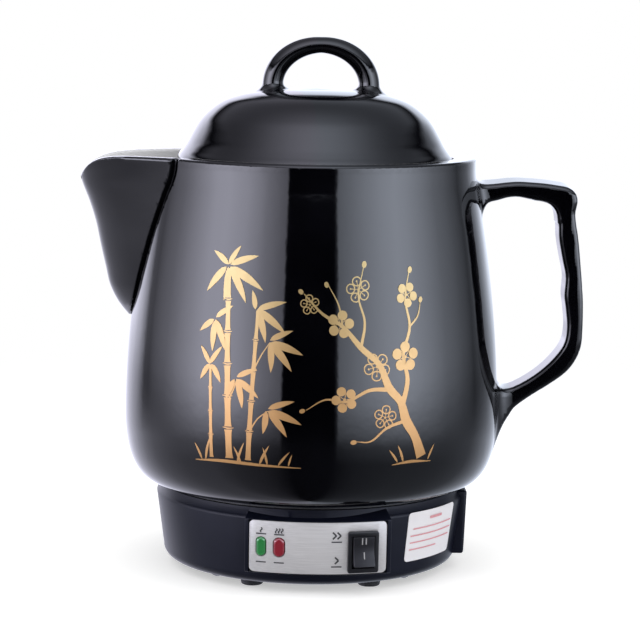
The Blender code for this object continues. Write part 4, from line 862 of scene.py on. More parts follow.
def modify(piece, kind, **settings):
    """Add a modifier, set it and apply it."""
    modifier = piece.modifiers.new(kind, kind)
    for key, value in settings.items():
        setattr(modifier, key, value)
    pick(piece)
    bpy.ops.object.modifier_apply(modifier=modifier.name)
    return piece


def round_edges(piece, width, segments=3, angle=EDGE_ANGLE):
    return modify(piece, "BEVEL", width=width, segments=segments, limit_method="ANGLE",
                  angle_limit=angle, harden_normals=False)


def carve(piece, *cutters):
    for cutter in cutters:
        modify(piece, "BOOLEAN", object=cutter, operation="DIFFERENCE", solver="EXACT")
        bpy.data.objects.remove(cutter)
    return piece


def merge(piece, *others):
    for other in others:
        modify(piece, "BOOLEAN", object=other, operation="UNION", solver="EXACT")
        bpy.data.objects.remove(other)
    return piece


def choose(piece, kind, test):
    """Enter edit mode with just the vertices, edges or faces that pass a test of their points."""
    edit(piece)
    bpy.ops.mesh.select_mode(type=kind)
    bpy.ops.mesh.select_all(action="DESELECT")
    object_mode()
    points = piece.data.vertices
    parts = {"VERT": points, "EDGE": piece.data.edges, "FACE": piece.data.polygons}[kind]
    for part in parts:
        part.select = test([points[i].co for i in part.vertices] if kind != "VERT" else [part.co])
    bpy.ops.object.mode_set(mode="EDIT")


def draw_profile(points):
    """Extrude one vertex along a profile of (across, up) points in the XZ plane."""
    bpy.ops.object.select_all(action="DESELECT")
    bpy.ops.mesh.primitive_plane_add(size=1, location=(0, 0, 0))
    piece = bpy.context.object
    bpy.ops.object.mode_set(mode="EDIT")
    bpy.ops.mesh.select_mode(type="VERT")
    bpy.ops.mesh.select_all(action="SELECT")
    bpy.ops.mesh.merge(type="CENTER")
    bpy.ops.transform.translate(value=(points[0][0], 0, points[0][1]))
    for (across, up), (next_across, next_up) in zip(points, points[1:]):
        step = (next_across - across, 0, next_up - up)
        bpy.ops.mesh.extrude_region_move(TRANSFORM_OT_translate={"value": step})
    return piece


def turned(name, points, steps=SPIN_STEPS):
    """Spin a profile of (radius, height) points about an upright axis."""
    piece = draw_profile(points)
    bpy.ops.mesh.select_all(action="SELECT")
    bpy.ops.mesh.spin(steps=steps, angle=math.tau, center=(0, 0, 0), axis=(0, 0, 1))
    heal()
    return settle(piece, name)


def arc(centre, radius, start, end, steps):
    """Points of an arc, by angle from straight out towards straight up."""
    turns = [start + (end - start) * step / steps for step in range(steps + 1)]
    return [(centre[0] + radius * math.cos(t), centre[1] + radius * math.sin(t)) for t in turns]


def block(name, size, location=(0, 0, 0), matrix=None):
    bpy.ops.object.select_all(action="DESELECT")
    bpy.ops.mesh.primitive_cube_add(size=1, location=location, scale=size)
    return settle(bpy.context.object, name, matrix)


# Heating base

def housing_radius(height):
    """Outer radius of the housing's tapering wall."""
    share = (height - TAPER_LOW_Z) / (TAPER_TOP_Z - TAPER_LOW_Z)
    return HOUSING_FOOT_R - HOUSING_SLIM + (HOUSING_R - HOUSING_FOOT_R) * max(0, min(1, share))


def arched(name, half_width, half_height, near, far):
    """A plate that follows the panel's arch between two depths."""
    half_turn = math.asin(half_width / PANEL_ARC_R)
    bpy.ops.object.select_all(action="DESELECT")
    bpy.ops.mesh.primitive_plane_add(size=1, rotation=(math.pi / 2, 0, 0))
    piece = bpy.context.object
    bpy.ops.object.transform_apply(rotation=True)
    bpy.ops.object.mode_set(mode="EDIT")
    bpy.ops.transform.resize(value=(far - near, 1, 2 * half_height))
    bpy.ops.transform.translate(value=(PANEL_ARC_R - (near + far) / 2, 0, 0))
    turn = math.pi / 2 - half_turn
    bpy.ops.transform.rotate(value=turn, orient_axis="Z", center_override=(0, 0, 0))
    bpy.ops.mesh.spin(steps=ARC_STEPS, angle=2 * half_turn, center=(0, 0, 0), axis=(0, 0, 1))
    bpy.ops.mesh.select_all(action="SELECT")
    bpy.ops.transform.translate(value=(0, PANEL_ARC_R, 0))
    heal()
    return settle(piece, name)


def panel_sag(x):
    """How far the panel's arch has fallen back at a place across it."""
    return PANEL_ARC_R - math.sqrt(PANEL_ARC_R ** 2 - x ** 2)


def switch_hole():
    size = (SWITCH_W + 2 * FIT, 2 * PANEL_BACK, SWITCH_H + 2 * FIT)
    return block("switch_hole", size, matrix=SWITCH_FRAME)


def make_housing():
    """Turned ring with bosses for the panel and the inlet, and the openings cut through them."""
    hem = (HOUSING_FOOT_R - HOUSING_SLIM - HEM_ROUND, TAPER_LOW_Z)
    shoulder = (HOUSING_R - HOUSING_SLIM - SHOULDER_ROUND, TAPER_TOP_Z)
    wall_top = HOUSING_R - HOUSING_WALL
    wall_low = HOUSING_FOOT_R - HOUSING_WALL
    profile = [(DECK_OPENING_R, DECK_Z), (HOUSING_R - HOUSING_SLIM - SHOULDER_STEP, DECK_Z)]
    profile += arc(shoulder, SHOULDER_ROUND, SHOULDER_TURN, 0, SHOULDER_STEPS)
    profile += arc(hem, HEM_ROUND, 0, -math.pi / 2, HEM_STEPS)
    profile += [(COVER_R, HOUSING_Z), (COVER_R, COVER_Z), (wall_low, TAPER_LOW_Z),
                (wall_top, TAPER_TOP_Z), (wall_top, DECK_Z - HOUSING_WALL),
                (DECK_OPENING_R, DECK_Z - HOUSING_WALL), (DECK_OPENING_R, DECK_Z)]
    housing = turned("housing", profile)
    housing.data.transform(AXIS)
    boss = arched("boss", PANEL_W / 2 + PANEL_SIDE, PANEL_H / 2 + PANEL_EDGE, 0, PANEL_BACK)
    choose(boss, "VERT", lambda points: points[0].y > PANEL_BACK / 2 and points[0].z > 0)
    bpy.ops.transform.translate(value=(0, 0, BOSS_SLOPE))
    object_mode()
    round_edges(boss, BOSS_EDGE)
    boss.data.transform(PANEL_FRAME)
    foot = HOUSING_Z + INLET_BOSS_FOOT
    height = DECK_Z - HOUSING_WALL / 2 - foot
    inlet_boss = block("inlet_boss", (INLET_BOSS_DEPTH, INLET_BOSS_W, height),
                       (AXIS_X + INLET_FACE_X - INLET_BOSS_DEPTH / 2, 0, foot + height / 2))
    edge = AXIS_X + INLET_FACE_X - FIT
    choose(inlet_boss, "VERT", lambda points: points[0].x > edge and points[0].z > INLET_Z)
    bpy.ops.transform.translate(value=(INLET_BOSS_LEAN, 0, 0))
    object_mode()
    round_edges(inlet_boss, INLET_BOSS_ROUND, 4)
    merge(housing, boss, inlet_boss)
    pocket = arched("pocket", PANEL_W / 2 + FIT, PANEL_H / 2 + FIT, -PANEL_BACK,
                    PANEL_SINK + PANEL_T + FIT)
    pocket.data.transform(PANEL_FRAME)
    depth = 2 * INLET_FLANGE_T + FIT
    seat = block("seat", (depth, INLET_FLANGE_W + 2 * FIT, INLET_FLANGE_H + 2 * FIT),
                 (AXIS_X + INLET_FACE_X, 0, INLET_Z))
    hole = block("hole", (3 * INLET_BOSS_DEPTH, INLET_W + 2 * FIT, INLET_H + 2 * FIT),
                 (AXIS_X + INLET_FACE_X, 0, INLET_Z))
    carve(housing, pocket, seat, hole, switch_hole())
    return smooth(housing)


def make_gasket():
    """The dark ring that shows between the jug's foot and the base."""
    low, high = GASKET_LOW.z, GASKET_HIGH.z
    reach, inner = GASKET_HIGH.y, FOOT_R - FOOT_RING_T + GASKET_LAP
    edge = (high - low) / 4
    profile = [(inner, high), (reach - edge, high), (reach, high - edge), (reach, low + edge),
               (reach - edge, low), (inner, low), (inner, high)]
    ring = turned("gasket", profile)
    ring.data.transform(AXIS)
    return smooth(ring)


def make_panel():
    """Arched plate with round corners, holes for the lenses and one for the switch."""
    plate = arched("panel_plate", PANEL_W / 2, PANEL_H / 2, PANEL_SINK, PANEL_SINK + PANEL_T)
    reach = PANEL_W / 2 - PANEL_T

    def through_corner(ends):
        run = ends[1] - ends[0]
        return abs(run.z) < FIT and abs(run.x) < abs(run.y) and abs(ends[0].x) > reach

    choose(plate, "EDGE", through_corner)
    bpy.ops.mesh.bevel(offset=PANEL_CORNER, segments=PANEL_CORNER_STEPS, affect="EDGES")
    object_mode()
    round_edges(plate, PLATE_EDGE, 2)
    settle(plate, "panel_plate", PANEL_FRAME)
    holes = [pill(name, x, width + 2 * FIT, LENS_H + 2 * FIT, -PANEL_BACK, PANEL_BACK)
             for name, (x, width, colour) in LENSES.items()]
    carve(plate, switch_hole(), *holes)
    return smooth(plate)


def pill(name, x, width, height, near, far, crown=0):
    """An upright round-ended bar through the panel. Its ends can be crowned."""
    bpy.ops.object.select_all(action="DESELECT")
    bpy.ops.mesh.primitive_cylinder_add(vertices=LENS_STEPS, radius=width / 2, depth=far - near,
                                        location=(x, panel_sag(x) + (near + far) / 2, 0),
                                        rotation=(math.pi / 2, math.pi / LENS_STEPS, 0))
    piece = settle(bpy.context.object, name)
    choose(piece, "VERT", lambda points: points[0].z > 0)
    bpy.ops.transform.translate(value=(0, 0, height - width))
    bpy.ops.mesh.select_all(action="SELECT")
    bpy.ops.transform.translate(value=(0, 0, -(height - width) / 2))
    object_mode()
    if crown:
        round_edges(piece, crown, 5, CROWN_ANGLE)
    return settle(piece, name, PANEL_FRAME)


def make_rocker():
    """Flange with a well for the key, and the body that snaps in behind it."""
    flange = block("rocker_flange", (FLANGE_W, FLANGE_T, FLANGE_H),
                   (0, FLANGE_BACK - FLANGE_T / 2, 0))
    choose(flange, "EDGE", lambda ends: abs((ends[1] - ends[0]).y) > FIT)
    bpy.ops.mesh.bevel(offset=FLANGE_CORNER, segments=4, affect="EDGES")
    object_mode()
    choose(flange, "FACE", lambda points: all(p.y > FLANGE_BACK - FIT for p in points))
    bpy.ops.mesh.extrude_region_move()
    bpy.ops.transform.resize(value=(SWITCH_W / FLANGE_W, 1, SWITCH_H / FLANGE_H))
    bpy.ops.mesh.extrude_region_move(TRANSFORM_OT_translate={"value": (0, SWITCH_DEPTH, 0)})
    object_mode()
    round_edges(flange, FLANGE_EDGE)
    well = block("well", (WELL_W, 2 * WELL_DEPTH, WELL_H), (0, FLANGE_FRONT, 0))
    carve(flange, well)
    return smooth(settle(flange, "rocker_flange", SWITCH_FRAME))


def key_face(height):
    """Depth of the key's front at a height: a shallow valley between its two ends."""
    share = abs(height) / KEY_HALF
    return FLANGE_FRONT - PIVOT_Y - KEY_VALLEY + (KEY_VALLEY - KEY_END) * share ** KEY_CURVE


def make_key():
    """Key with a shallow valley across its middle, tipped so that its upper end is in."""
    front = FLANGE_FRONT - PIVOT_Y
    size = (WELL_W - 2 * KEY_PLAY, KEY_UNDER - front, 2 * KEY_HALF)
    key = block("key", size, (0, (front + KEY_UNDER) / 2, 0))
    edit(key)
    for height in (-KEY_HALF / 2, 0, KEY_HALF / 2):
        bpy.ops.mesh.select_all(action="SELECT")
        bpy.ops.mesh.bisect(plane_co=(0, 0, height), plane_no=(0, 0, 1))
    object_mode()
    for vertex in key.data.vertices:
        spot = vertex.co
        if spot.y < 0:
            spot.y = key_face(spot.z)
        elif abs(spot.z) / KEY_HALF > KEY_END_SHARE:
            spot.y = front
    round_edges(key, KEY_EDGE)
    return smooth(settle(key, "key", KEY_FRAME))


# Prints and labels: strokes of (across, up, width) points, laid on a surface as thin closed shells

def lay(name, strokes, place, thickness=PRINT_T, smooth_steps=STROKE_STEPS):
    """A thin closed shell for each stroke. The function place gives a point of the surface, lifted."""
    points, faces = [], []
    for order, table in enumerate(strokes):
        table = np.array(table, dtype=float)
        fine = smooth_route(table, smooth_steps * (len(table) - 1) + 1)
        way = np.gradient(fine[:, :2], axis=0)
        way /= np.linalg.norm(way, axis=1, keepdims=True)
        side = np.stack((-way[:, 1], way[:, 0]), 1) * np.clip(fine[:, 2:], 0, None) / 2
        lift = PRINT_LIFT + thickness + order % PRINT_LAYERS * PRINT_STEP
        start = len(points)
        for left, right in zip(fine[:, :2] + side, fine[:, :2] - side):
            points += [place(*left, lift), place(*right, lift)]
        faces += [(start + 2 * i + 1, start + 2 * i + 3, start + 2 * i + 2, start + 2 * i)
                  for i in range(len(fine) - 1)]
    mesh = bpy.data.meshes.new(name)
    mesh.from_pydata(points, [], faces)
    piece = put_in(name, mesh)
    edit(piece)
    bpy.ops.mesh.select_all(action="SELECT")
    bpy.ops.mesh.remove_doubles(threshold=MERGE)
    object_mode()
    modify(piece, "SOLIDIFY", thickness=thickness, offset=-1)
    edit(piece)
    heal()
    object_mode()
    return smooth(piece)


def shifted(x, z, turn, along, aside=0):
    """The point at a distance along a direction, and across it."""
    return (x + along * math.cos(turn) - aside * math.sin(turn),
            z + along * math.sin(turn) + aside * math.cos(turn))


def blade(x, z, turn, length, width):
    """A leaf: it swells early, bends a little downwards and ends in a point."""
    turn = math.radians(turn)
    table = []
    for step in range(LEAF_STEPS + 1):
        t = step / LEAF_STEPS
        droop = -length * LEAF_BEND * t * t * math.copysign(1, math.cos(turn))
        swell = math.sin(math.pi * t ** LEAF_SWELL[0]) ** LEAF_SWELL[1]
        table.append((*shifted(x, z, turn, length * t, droop), width * swell))
    return table


def dab(x, z, turn, length, width):
    """A round-ended touch of the brush."""
    turn = math.radians(turn)
    spots = [-math.cos(math.pi * step / DAB_STEPS) for step in range(DAB_STEPS + 1)]
    return [(*shifted(x, z, turn, length / 2 * (1 + spot)), width * math.sqrt(max(0, 1 - spot ** 2)))
            for spot in spots]


def blossom(x, z, size, turn, outlined):
    """Five petals, filled or in outline, with a heart and stamens."""
    strokes = [dab(x - size * HEART / 2, z, 0, size * HEART, size * HEART)]
    for way in [turn + PETAL_TURN * petal for petal in range(PETALS)]:
        ray = math.radians(way)
        if outlined:
            middle, half_length, half_width = DRAWN_PETAL
            ring = [math.tau * step / PETAL_STEPS for step in range(PETAL_STEPS + 1)]
            strokes.append([(*shifted(x, z, ray, size * (middle + half_length * math.cos(t)),
                                      size * half_width * math.sin(t)), PETAL_LINE) for t in ring])
            strokes.append([(*shifted(x, z, ray, size * along), width) for along, width in DRAWN_STAMEN])
            along, tip = STAMEN_TIP
            strokes.append(dab(*shifted(x, z, ray, size * along), way, size * tip, size * tip))
        else:
            along, length, width = FILLED_PETAL
            strokes.append(dab(*shifted(x, z, ray, size * along), way, size * length, size * width))
            gap = ray + math.radians(PETAL_TURN / 2)
            strokes.append([(*shifted(x, z, gap, size * along), width) for along, width in FILLED_STAMEN])
    return strokes


def stalk(low, high, width, count):
    """Bamboo: segments that flare a little at their joints, with a rim between them."""
    strokes = []
    low, high = np.array(low), np.array(high)
    for segment in range(count):
        start, end = segment / count + JOINT_GAP, (segment + 1) / count - JOINT_GAP
        flare = width * (1 - STALK_TAPER * start)
        strokes.append([(*(low + (high - low) * (start + (end - start) * t)), flare * share)
                        for t, share in STALK_SHARES])
        x, z = low + (high - low) * (segment + 1) / count
        if segment < count - 1:
            strokes.append([(x + flare * aside, z + rise, thick) for aside, rise, thick in JOINT_RIM])
    return strokes


def wall_radius(z):
    """Outer radius of the jug's wall."""
    if z > BELLY_Z:
        return -float(wall_field(0.0, z))
    fall = (BELLY_Z - z) / (BELLY_Z - FOOT_Z)
    return FOOT_R + (BELLY_R - FOOT_R) * (1 - fall ** BOWL_CURVE) ** (1 / BOWL_CURVE)


def on_wall(across, up, lift):
    """A point of the print, in millimetres from the front and above the table, on the jug."""
    turn, height = across / MM_PER_M / BELLY_R, up / MM_PER_M
    reach = wall_radius(height) + lift
    return (AXIS_X + reach * math.sin(turn), -reach * math.cos(turn), height)


def make_print():
    """Bamboo at the left and a branch of plum blossom at the right."""
    strokes = [part for row in STALKS for part in stalk(*row)]
    strokes += [list(row) for row in BRANCHES]
    strokes += [blade(*row) for row in LEAVES]
    strokes += [part for row in BLOSSOMS for part in blossom(*row)]
    strokes += [dab(*row) for row in BUDS]
    return lay("gold_print", strokes, on_wall)


def on_panel(across, up, lift):
    """A point of the panel, in millimetres from its middle."""
    x = across / MM_PER_M
    return tuple(PANEL_FRAME @ Vector((x, panel_sag(x) + PANEL_SINK - lift, up / MM_PER_M)))


def make_panel_marks():
    """Plain signs: warmth beside the lamps, and one or two arrows for slow and fast."""
    strokes = []
    for node, waves in WAVES.items():
        x = LENSES[node][0] * MM_PER_M
        high, low = [[(x - SIGN_BAR_HALF, z, SIGN_BAR_W), (x + SIGN_BAR_HALF, z, SIGN_BAR_W)]
                     for z in (SIGN_BAR_HIGH, SIGN_BAR_LOW)]
        strokes.append(high)
        strokes += [[(x + wave + aside, z, width) for aside, z, width in WAVE] for wave in waves]
        strokes.append(low)
    for z, arrows in ARROWS:
        for x in arrows:
            tip = (x + ARROW_SIZE, z, ARROW_W)
            strokes += [[(x, z + side, ARROW_W), tip] for side in (ARROW_SIZE, -ARROW_SIZE)]
        strokes.append([(x, z - ARROW_BAR_DROP, SIGN_BAR_W) for x in ARROW_BAR])
    return lay("panel_marks", strokes, on_panel)


def on_key(across, up, lift):
    """A point of the key's front, in millimetres from its middle."""
    height = up / MM_PER_M
    spot = Vector((across / MM_PER_M, key_face(height) - lift - KEY_MARK_LIFT, height))
    return tuple(KEY_FRAME @ spot)


def make_key_marks():
    """II at the upper end and I at the lower end."""
    strokes = [[(x, z, KEY_MARK_W) for z in (low, low + KEY_MARK_H)] for x, low in KEY_MARKS]
    return lay("key_marks", strokes, on_key)


def on_label(across, up, lift):
    """A point of the label, by angle from the front, on the housing's wall."""
    reach = housing_radius(up) + lift
    return (AXIS_X + reach * math.sin(across), -reach * math.cos(across), up)


def make_label():
    """A rectangle with round corners: upright slices, shorter near its two ends."""
    corner = LABEL_CORNER / HOUSING_R
    middle = LABEL_LOW_Z + LABEL_H / 2
    turns = [math.pi / 2 * step / LABEL_CORNER_STEPS for step in range(LABEL_CORNER_STEPS + 1)]
    cuts = [(corner * (1 - math.cos(t)), LABEL_CORNER * (1 - math.sin(t))) for t in turns]
    left = [(LABEL_FROM + across, middle, LABEL_H - 2 * cut) for across, cut in cuts]
    right = [(LABEL_TO - across, middle, LABEL_H - 2 * cut) for across, cut in reversed(cuts)]
    span = [(LABEL_FROM + (LABEL_TO - LABEL_FROM) * step / LABEL_STEPS, middle, LABEL_H)
            for step in range(1, LABEL_STEPS)]
    return lay("label", [left + span + right], on_label, LABEL_T, 1)


def make_label_lines():
    """Plain ruled lines across the label."""
    strokes = []
    for first, last, height, width in LABEL_LINES:
        shares = [first + (last - first) * step / RULE_STEPS for step in range(RULE_STEPS + 1)]
        strokes.append([(LABEL_FROM + (LABEL_TO - LABEL_FROM) * share, LABEL_LOW_Z + LABEL_H * height,
                         width) for share in shares])
    return lay("label_lines", strokes,
               lambda across, up, lift: on_label(across, up, lift + LABEL_T + PRINT_T))


def make_foot(name):
    """Turned rubber foot that narrows to the table, placed by its CAD node."""
    low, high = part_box(name)
    reach = (high.x - low.x) / 2
    seat = HOUSING_Z - FIT
    profile = [(0, seat), (reach, seat)]
    low_edge = (reach - RUBBER_HOLLOW - RUBBER_ROUND, RUBBER_ROUND)
    profile += arc(low_edge, RUBBER_ROUND, 0, -math.pi / 2, 5)
    profile += [(reach / 2, 0), (reach / 2 - RUBBER_HOLLOW, RUBBER_HOLLOW), (0, RUBBER_HOLLOW)]
    foot = turned(name + "_turned", profile, RUBBER_STEPS)
    foot.data.transform(Matrix.Translation(((low.x + high.x) / 2, (low.y + high.y) / 2, 0)))
    return smooth(foot)


def make_inlet():
    """Socket with a deep well, and its flange."""
    face = AXIS_X + INLET_FACE_X - FIT
    length = INLET_WELL_DEPTH + INLET_BACK_T
    socket = block("socket", (INLET_FLANGE_T, INLET_FLANGE_W, INLET_FLANGE_H),
                   (face - INLET_FLANGE_T / 2, 0, INLET_Z))
    choose(socket, "EDGE", lambda ends: abs((ends[1] - ends[0]).x) > FIT)
    bpy.ops.mesh.bevel(offset=INLET_CORNER, segments=4, affect="EDGES")
    object_mode()
    choose(socket, "FACE", lambda points: all(p.x < face - INLET_FLANGE_T + FIT for p in points))
    bpy.ops.mesh.extrude_region_move()
    share = (1, INLET_W / INLET_FLANGE_W, INLET_H / INLET_FLANGE_H)
    bpy.ops.transform.resize(value=share, center_override=(0, 0, INLET_Z))
    bpy.ops.mesh.extrude_region_move(TRANSFORM_OT_translate={"value": (INLET_FLANGE_T - length, 0, 0)})
    object_mode()
    round_edges(socket, INLET_EDGE)
    well = block("socket_well", (2 * INLET_WELL_DEPTH, INLET_WELL_W, INLET_WELL_H), (face, 0, INLET_Z))
    round_edges(well, INLET_WELL_EDGE)
    return smooth(carve(socket, well))


# Finishes: a wire is a node's output, so that a finish reads as sums of wires

class Wire:
    """A socket is named by its words, with _ for a space, or by _ and its number."""

    def __init__(self, tree, socket):
        self.tree = tree
        self.socket = socket

    def make(self, kind, settings=None, output=0, **sockets):
        """Another node of the same tree: its settings first, and then what feeds its sockets."""
        node = self.tree.nodes.new(kind)
        for name, value in (settings or {}).items():
            setattr(node, name, value)
        for name, value in sockets.items():
            key = int(name[1:]) if name[1:].isdigit() else name.replace("_", " ")
            self.feed(node.inputs[key], value)
        return Wire(self.tree, node.outputs[output])

    def feed(self, socket, value):
        if isinstance(value, Wire):
            self.tree.links.new(value.socket, socket)
        else:
            socket.default_value = value

    def math(self, operation, first, second=0.0):
        return self.make("ShaderNodeMath", {"operation": operation}, _0=first, _1=second)

    def __add__(self, other):
        return self.math("ADD", self, other)

    def __sub__(self, other):
        return self.math("SUBTRACT", self, other)

    def __mul__(self, other):
        return self.math("MULTIPLY", self, other)

    def __truediv__(self, other):
        return self.math("DIVIDE", self, other)

    def __pow__(self, other):
        return self.math("POWER", self, other)

    def __rsub__(self, other):
        return self.math("SUBTRACT", other, self)

    __radd__ = __add__
    __rmul__ = __mul__

    def span(self, low, high):
        """Rises from 0 at low to 1 at high, and stays level beyond them."""
        return self.make("ShaderNodeMapRange", {"interpolation_type": "SMOOTHSTEP"},
                         Value=self, From_Min=low, From_Max=high)

    def blend(self, first, second):
        """One colour where this wire is 0 and the other where it is 1."""
        return self.make("ShaderNodeMix", {"data_type": "RGBA"}, output=2, _0=self, _6=first, _7=second)

    def tones(self, dark, light):
        return self.blend((*dark, 1), (*light, 1))

    def part(self, axis):
        return self.make("ShaderNodeSeparateXYZ", output="XYZ".index(axis), Vector=self)

    def stretch(self, scale):
        return self.make("ShaderNodeMapping", Vector=self, Scale=scale)

    def noise(self, scale, detail=2.0):
        return self.make("ShaderNodeTexNoise", Vector=self, Scale=scale, Detail=detail)


def new_finish(name):
    """A new material with its Principled shader, and a wire of its piece's own coordinates."""
    material = bpy.data.materials.new(name)
    material.use_nodes = True
    tree = material.node_tree
    shader = tree.nodes["Principled BSDF"]
    place = Wire(tree, tree.nodes.new("ShaderNodeTexCoord").outputs["Object"])
    return material, shader, place


def set_shader(shader, **values):
    for name, value in values.items():
        shader.inputs[name.replace("_", " ")].default_value = value


def drive(place, shader, **wires):
    for name, wire in wires.items():
        place.feed(shader.inputs[name.replace("_", " ")], wire)


def bumped(place, height, distance, strength=1.0):
    return place.make("ShaderNodeBump", Strength=strength, Distance=distance, Height=height)


def black_glaze():
    """Deep black glaze with a slow orange peel and clouds of haze, and a pale colour where the jug's inside
    is marked.
    """
    material, shader, place = new_finish("black_glaze")
    clouds = place.noise(24, 3)
    peel = place.noise(150, 2)
    inner = place.make("ShaderNodeAttribute", {"attribute_name": "pale_inside"}, output=2)
    deep = clouds.span(0.35, 0.7).tones(*GLAZE_TONES)
    pale = clouds.span(0.3, 0.7).tones(*INNER_TONES)
    drive(place, shader, Base_Color=inner.blend(deep, pale), Roughness=clouds * 0.04 + 0.03,
          Normal=bumped(place, peel, 0.00006, 0.5))
    return material


def moulded(name, dark, light, rough, grain=PLASTIC_GRAIN, depth=PLASTIC_PITS):
    """Moulded plastic: fine spark-eroded grain and slow changes of tone."""
    material, shader, place = new_finish(name)
    tone = place.noise(38, 4)
    pits = place.noise(grain, 2)
    drive(place, shader, Base_Color=tone.span(0.3, 0.7).tones(dark, light),
          Roughness=tone * 0.12 + (rough - 0.06) + pits * 0.05,
          Normal=bumped(place, pits, depth, 0.6))
    return material


def brushed(name, dark, light, rough, metallic, stretch=SCRATCHES):
    """Metal brushed along X: long fine scratches."""
    material, shader, place = new_finish(name)
    lines = place.stretch(stretch).noise(1, 4)
    tone = place.noise(30, 2)
    set_shader(shader, Metallic=metallic)
    streaks = (lines * 0.7 + tone * 0.3).span(0.3, 0.7)
    drive(place, shader, Base_Color=streaks.tones(dark, light),
          Roughness=lines * 0.18 + (rough - 0.09), Normal=bumped(place, lines, 0.00002, 0.4))
    return material


def gold_print():
    """Fired gold paint, redder at its foot than at its top, with slightly uneven cover."""
    material, shader, place = new_finish("gold_print")
    height = place.part("Z").span(*GOLD_RISE)
    cover = place.noise(420, 3)
    set_shader(shader, Metallic=GOLD_METALLIC)
    drive(place, shader, Base_Color=height.tones(*GOLD_TONES), Roughness=cover * 0.16 + 0.24,
          Normal=bumped(place, cover, 0.00002, 0.4))
    return material


def lens(name, colour, glow):
    """Coloured moulding with a clear coat and fine upright ribs."""
    material, shader, place = new_finish(name)
    ribs = place.make("ShaderNodeTexWave", Vector=place, Scale=1500.0)
    set_shader(shader, Coat_Weight=1.0, Coat_Roughness=0.03, Roughness=0.25)
    drive(place, shader, Base_Color=ribs.span(0.2, 0.8).tones(colour, glow))
    return material


def make_finishes():
    """A finish for each slot of the record, and those that only this scene uses."""
    finishes = {"black_glaze": black_glaze(), "gold_print": gold_print()}
    for make, table in ((moulded, MOULDED), (brushed, BRUSHED), (lens, CLEAR)):
        finishes.update({name: make(name, *row) for name, row in table.items()})
    for colour, tone in WIRE_TONES.items():
        name = f"wire_{colour}"
        light = tuple(min(1, part * WIRE_LIGHTER) for part in tone)
        finishes[name] = moulded(name, tone, light, WIRE_ROUGH, WIRE_GRAIN)
    for name, level in SPECULAR.items():
        set_shader(finishes[name].node_tree.nodes["Principled BSDF"], Specular_IOR_Level=level)
    return finishes


# Studio: floor, lamps, world and camera

def ray_kind(wire, name):
    """1 for the named kind of ray and 0 for the others."""
    path = wire.tree.nodes.new("ShaderNodeLightPath")
    return Wire(wire.tree, path.outputs[name])


def seen_directly(wire):
    """1 for what the camera sees, also through glass."""
    return wire.math("MAXIMUM", ray_kind(wire, "Is Camera Ray"), ray_kind(wire, "Is Transmission Ray"))


def make_floor():
    """Pale paper that fades into the white behind it. Gloss sees the world's own table instead."""
    bpy.ops.object.select_all(action="DESELECT")
    bpy.ops.mesh.primitive_circle_add(vertices=FLOOR_STEPS, radius=FLOOR_R, fill_type="NGON")
    floor = settle(bpy.context.object, "floor")
    material, shader, place = new_finish("floor_paper")
    tree = material.node_tree
    set_shader(shader, Roughness=0.9, Specular_IOR_Level=0.0, Emission_Color=WHITE)
    tone = place.noise(3, 2)
    seen = seen_directly(place)
    away = place.make("ShaderNodeVectorMath", {"operation": "LENGTH"}, 1, _0=place)
    drive(place, shader, Base_Color=tone.tones(*PAPER_TONES), Emission_Strength=seen * FLOOR_LIFT)
    white = place.make("ShaderNodeEmission", Color=WHITE, Strength=1.0)
    paper = Wire(tree, shader.outputs["BSDF"])
    shown = place.make("ShaderNodeMixShader", _0=seen * away.span(*FLOOR_FADE), _1=paper, _2=white)
    place.feed(tree.nodes["Material Output"].inputs["Surface"], shown)
    floor.data.materials.append(material)
    floor.visible_glossy = False
    return floor


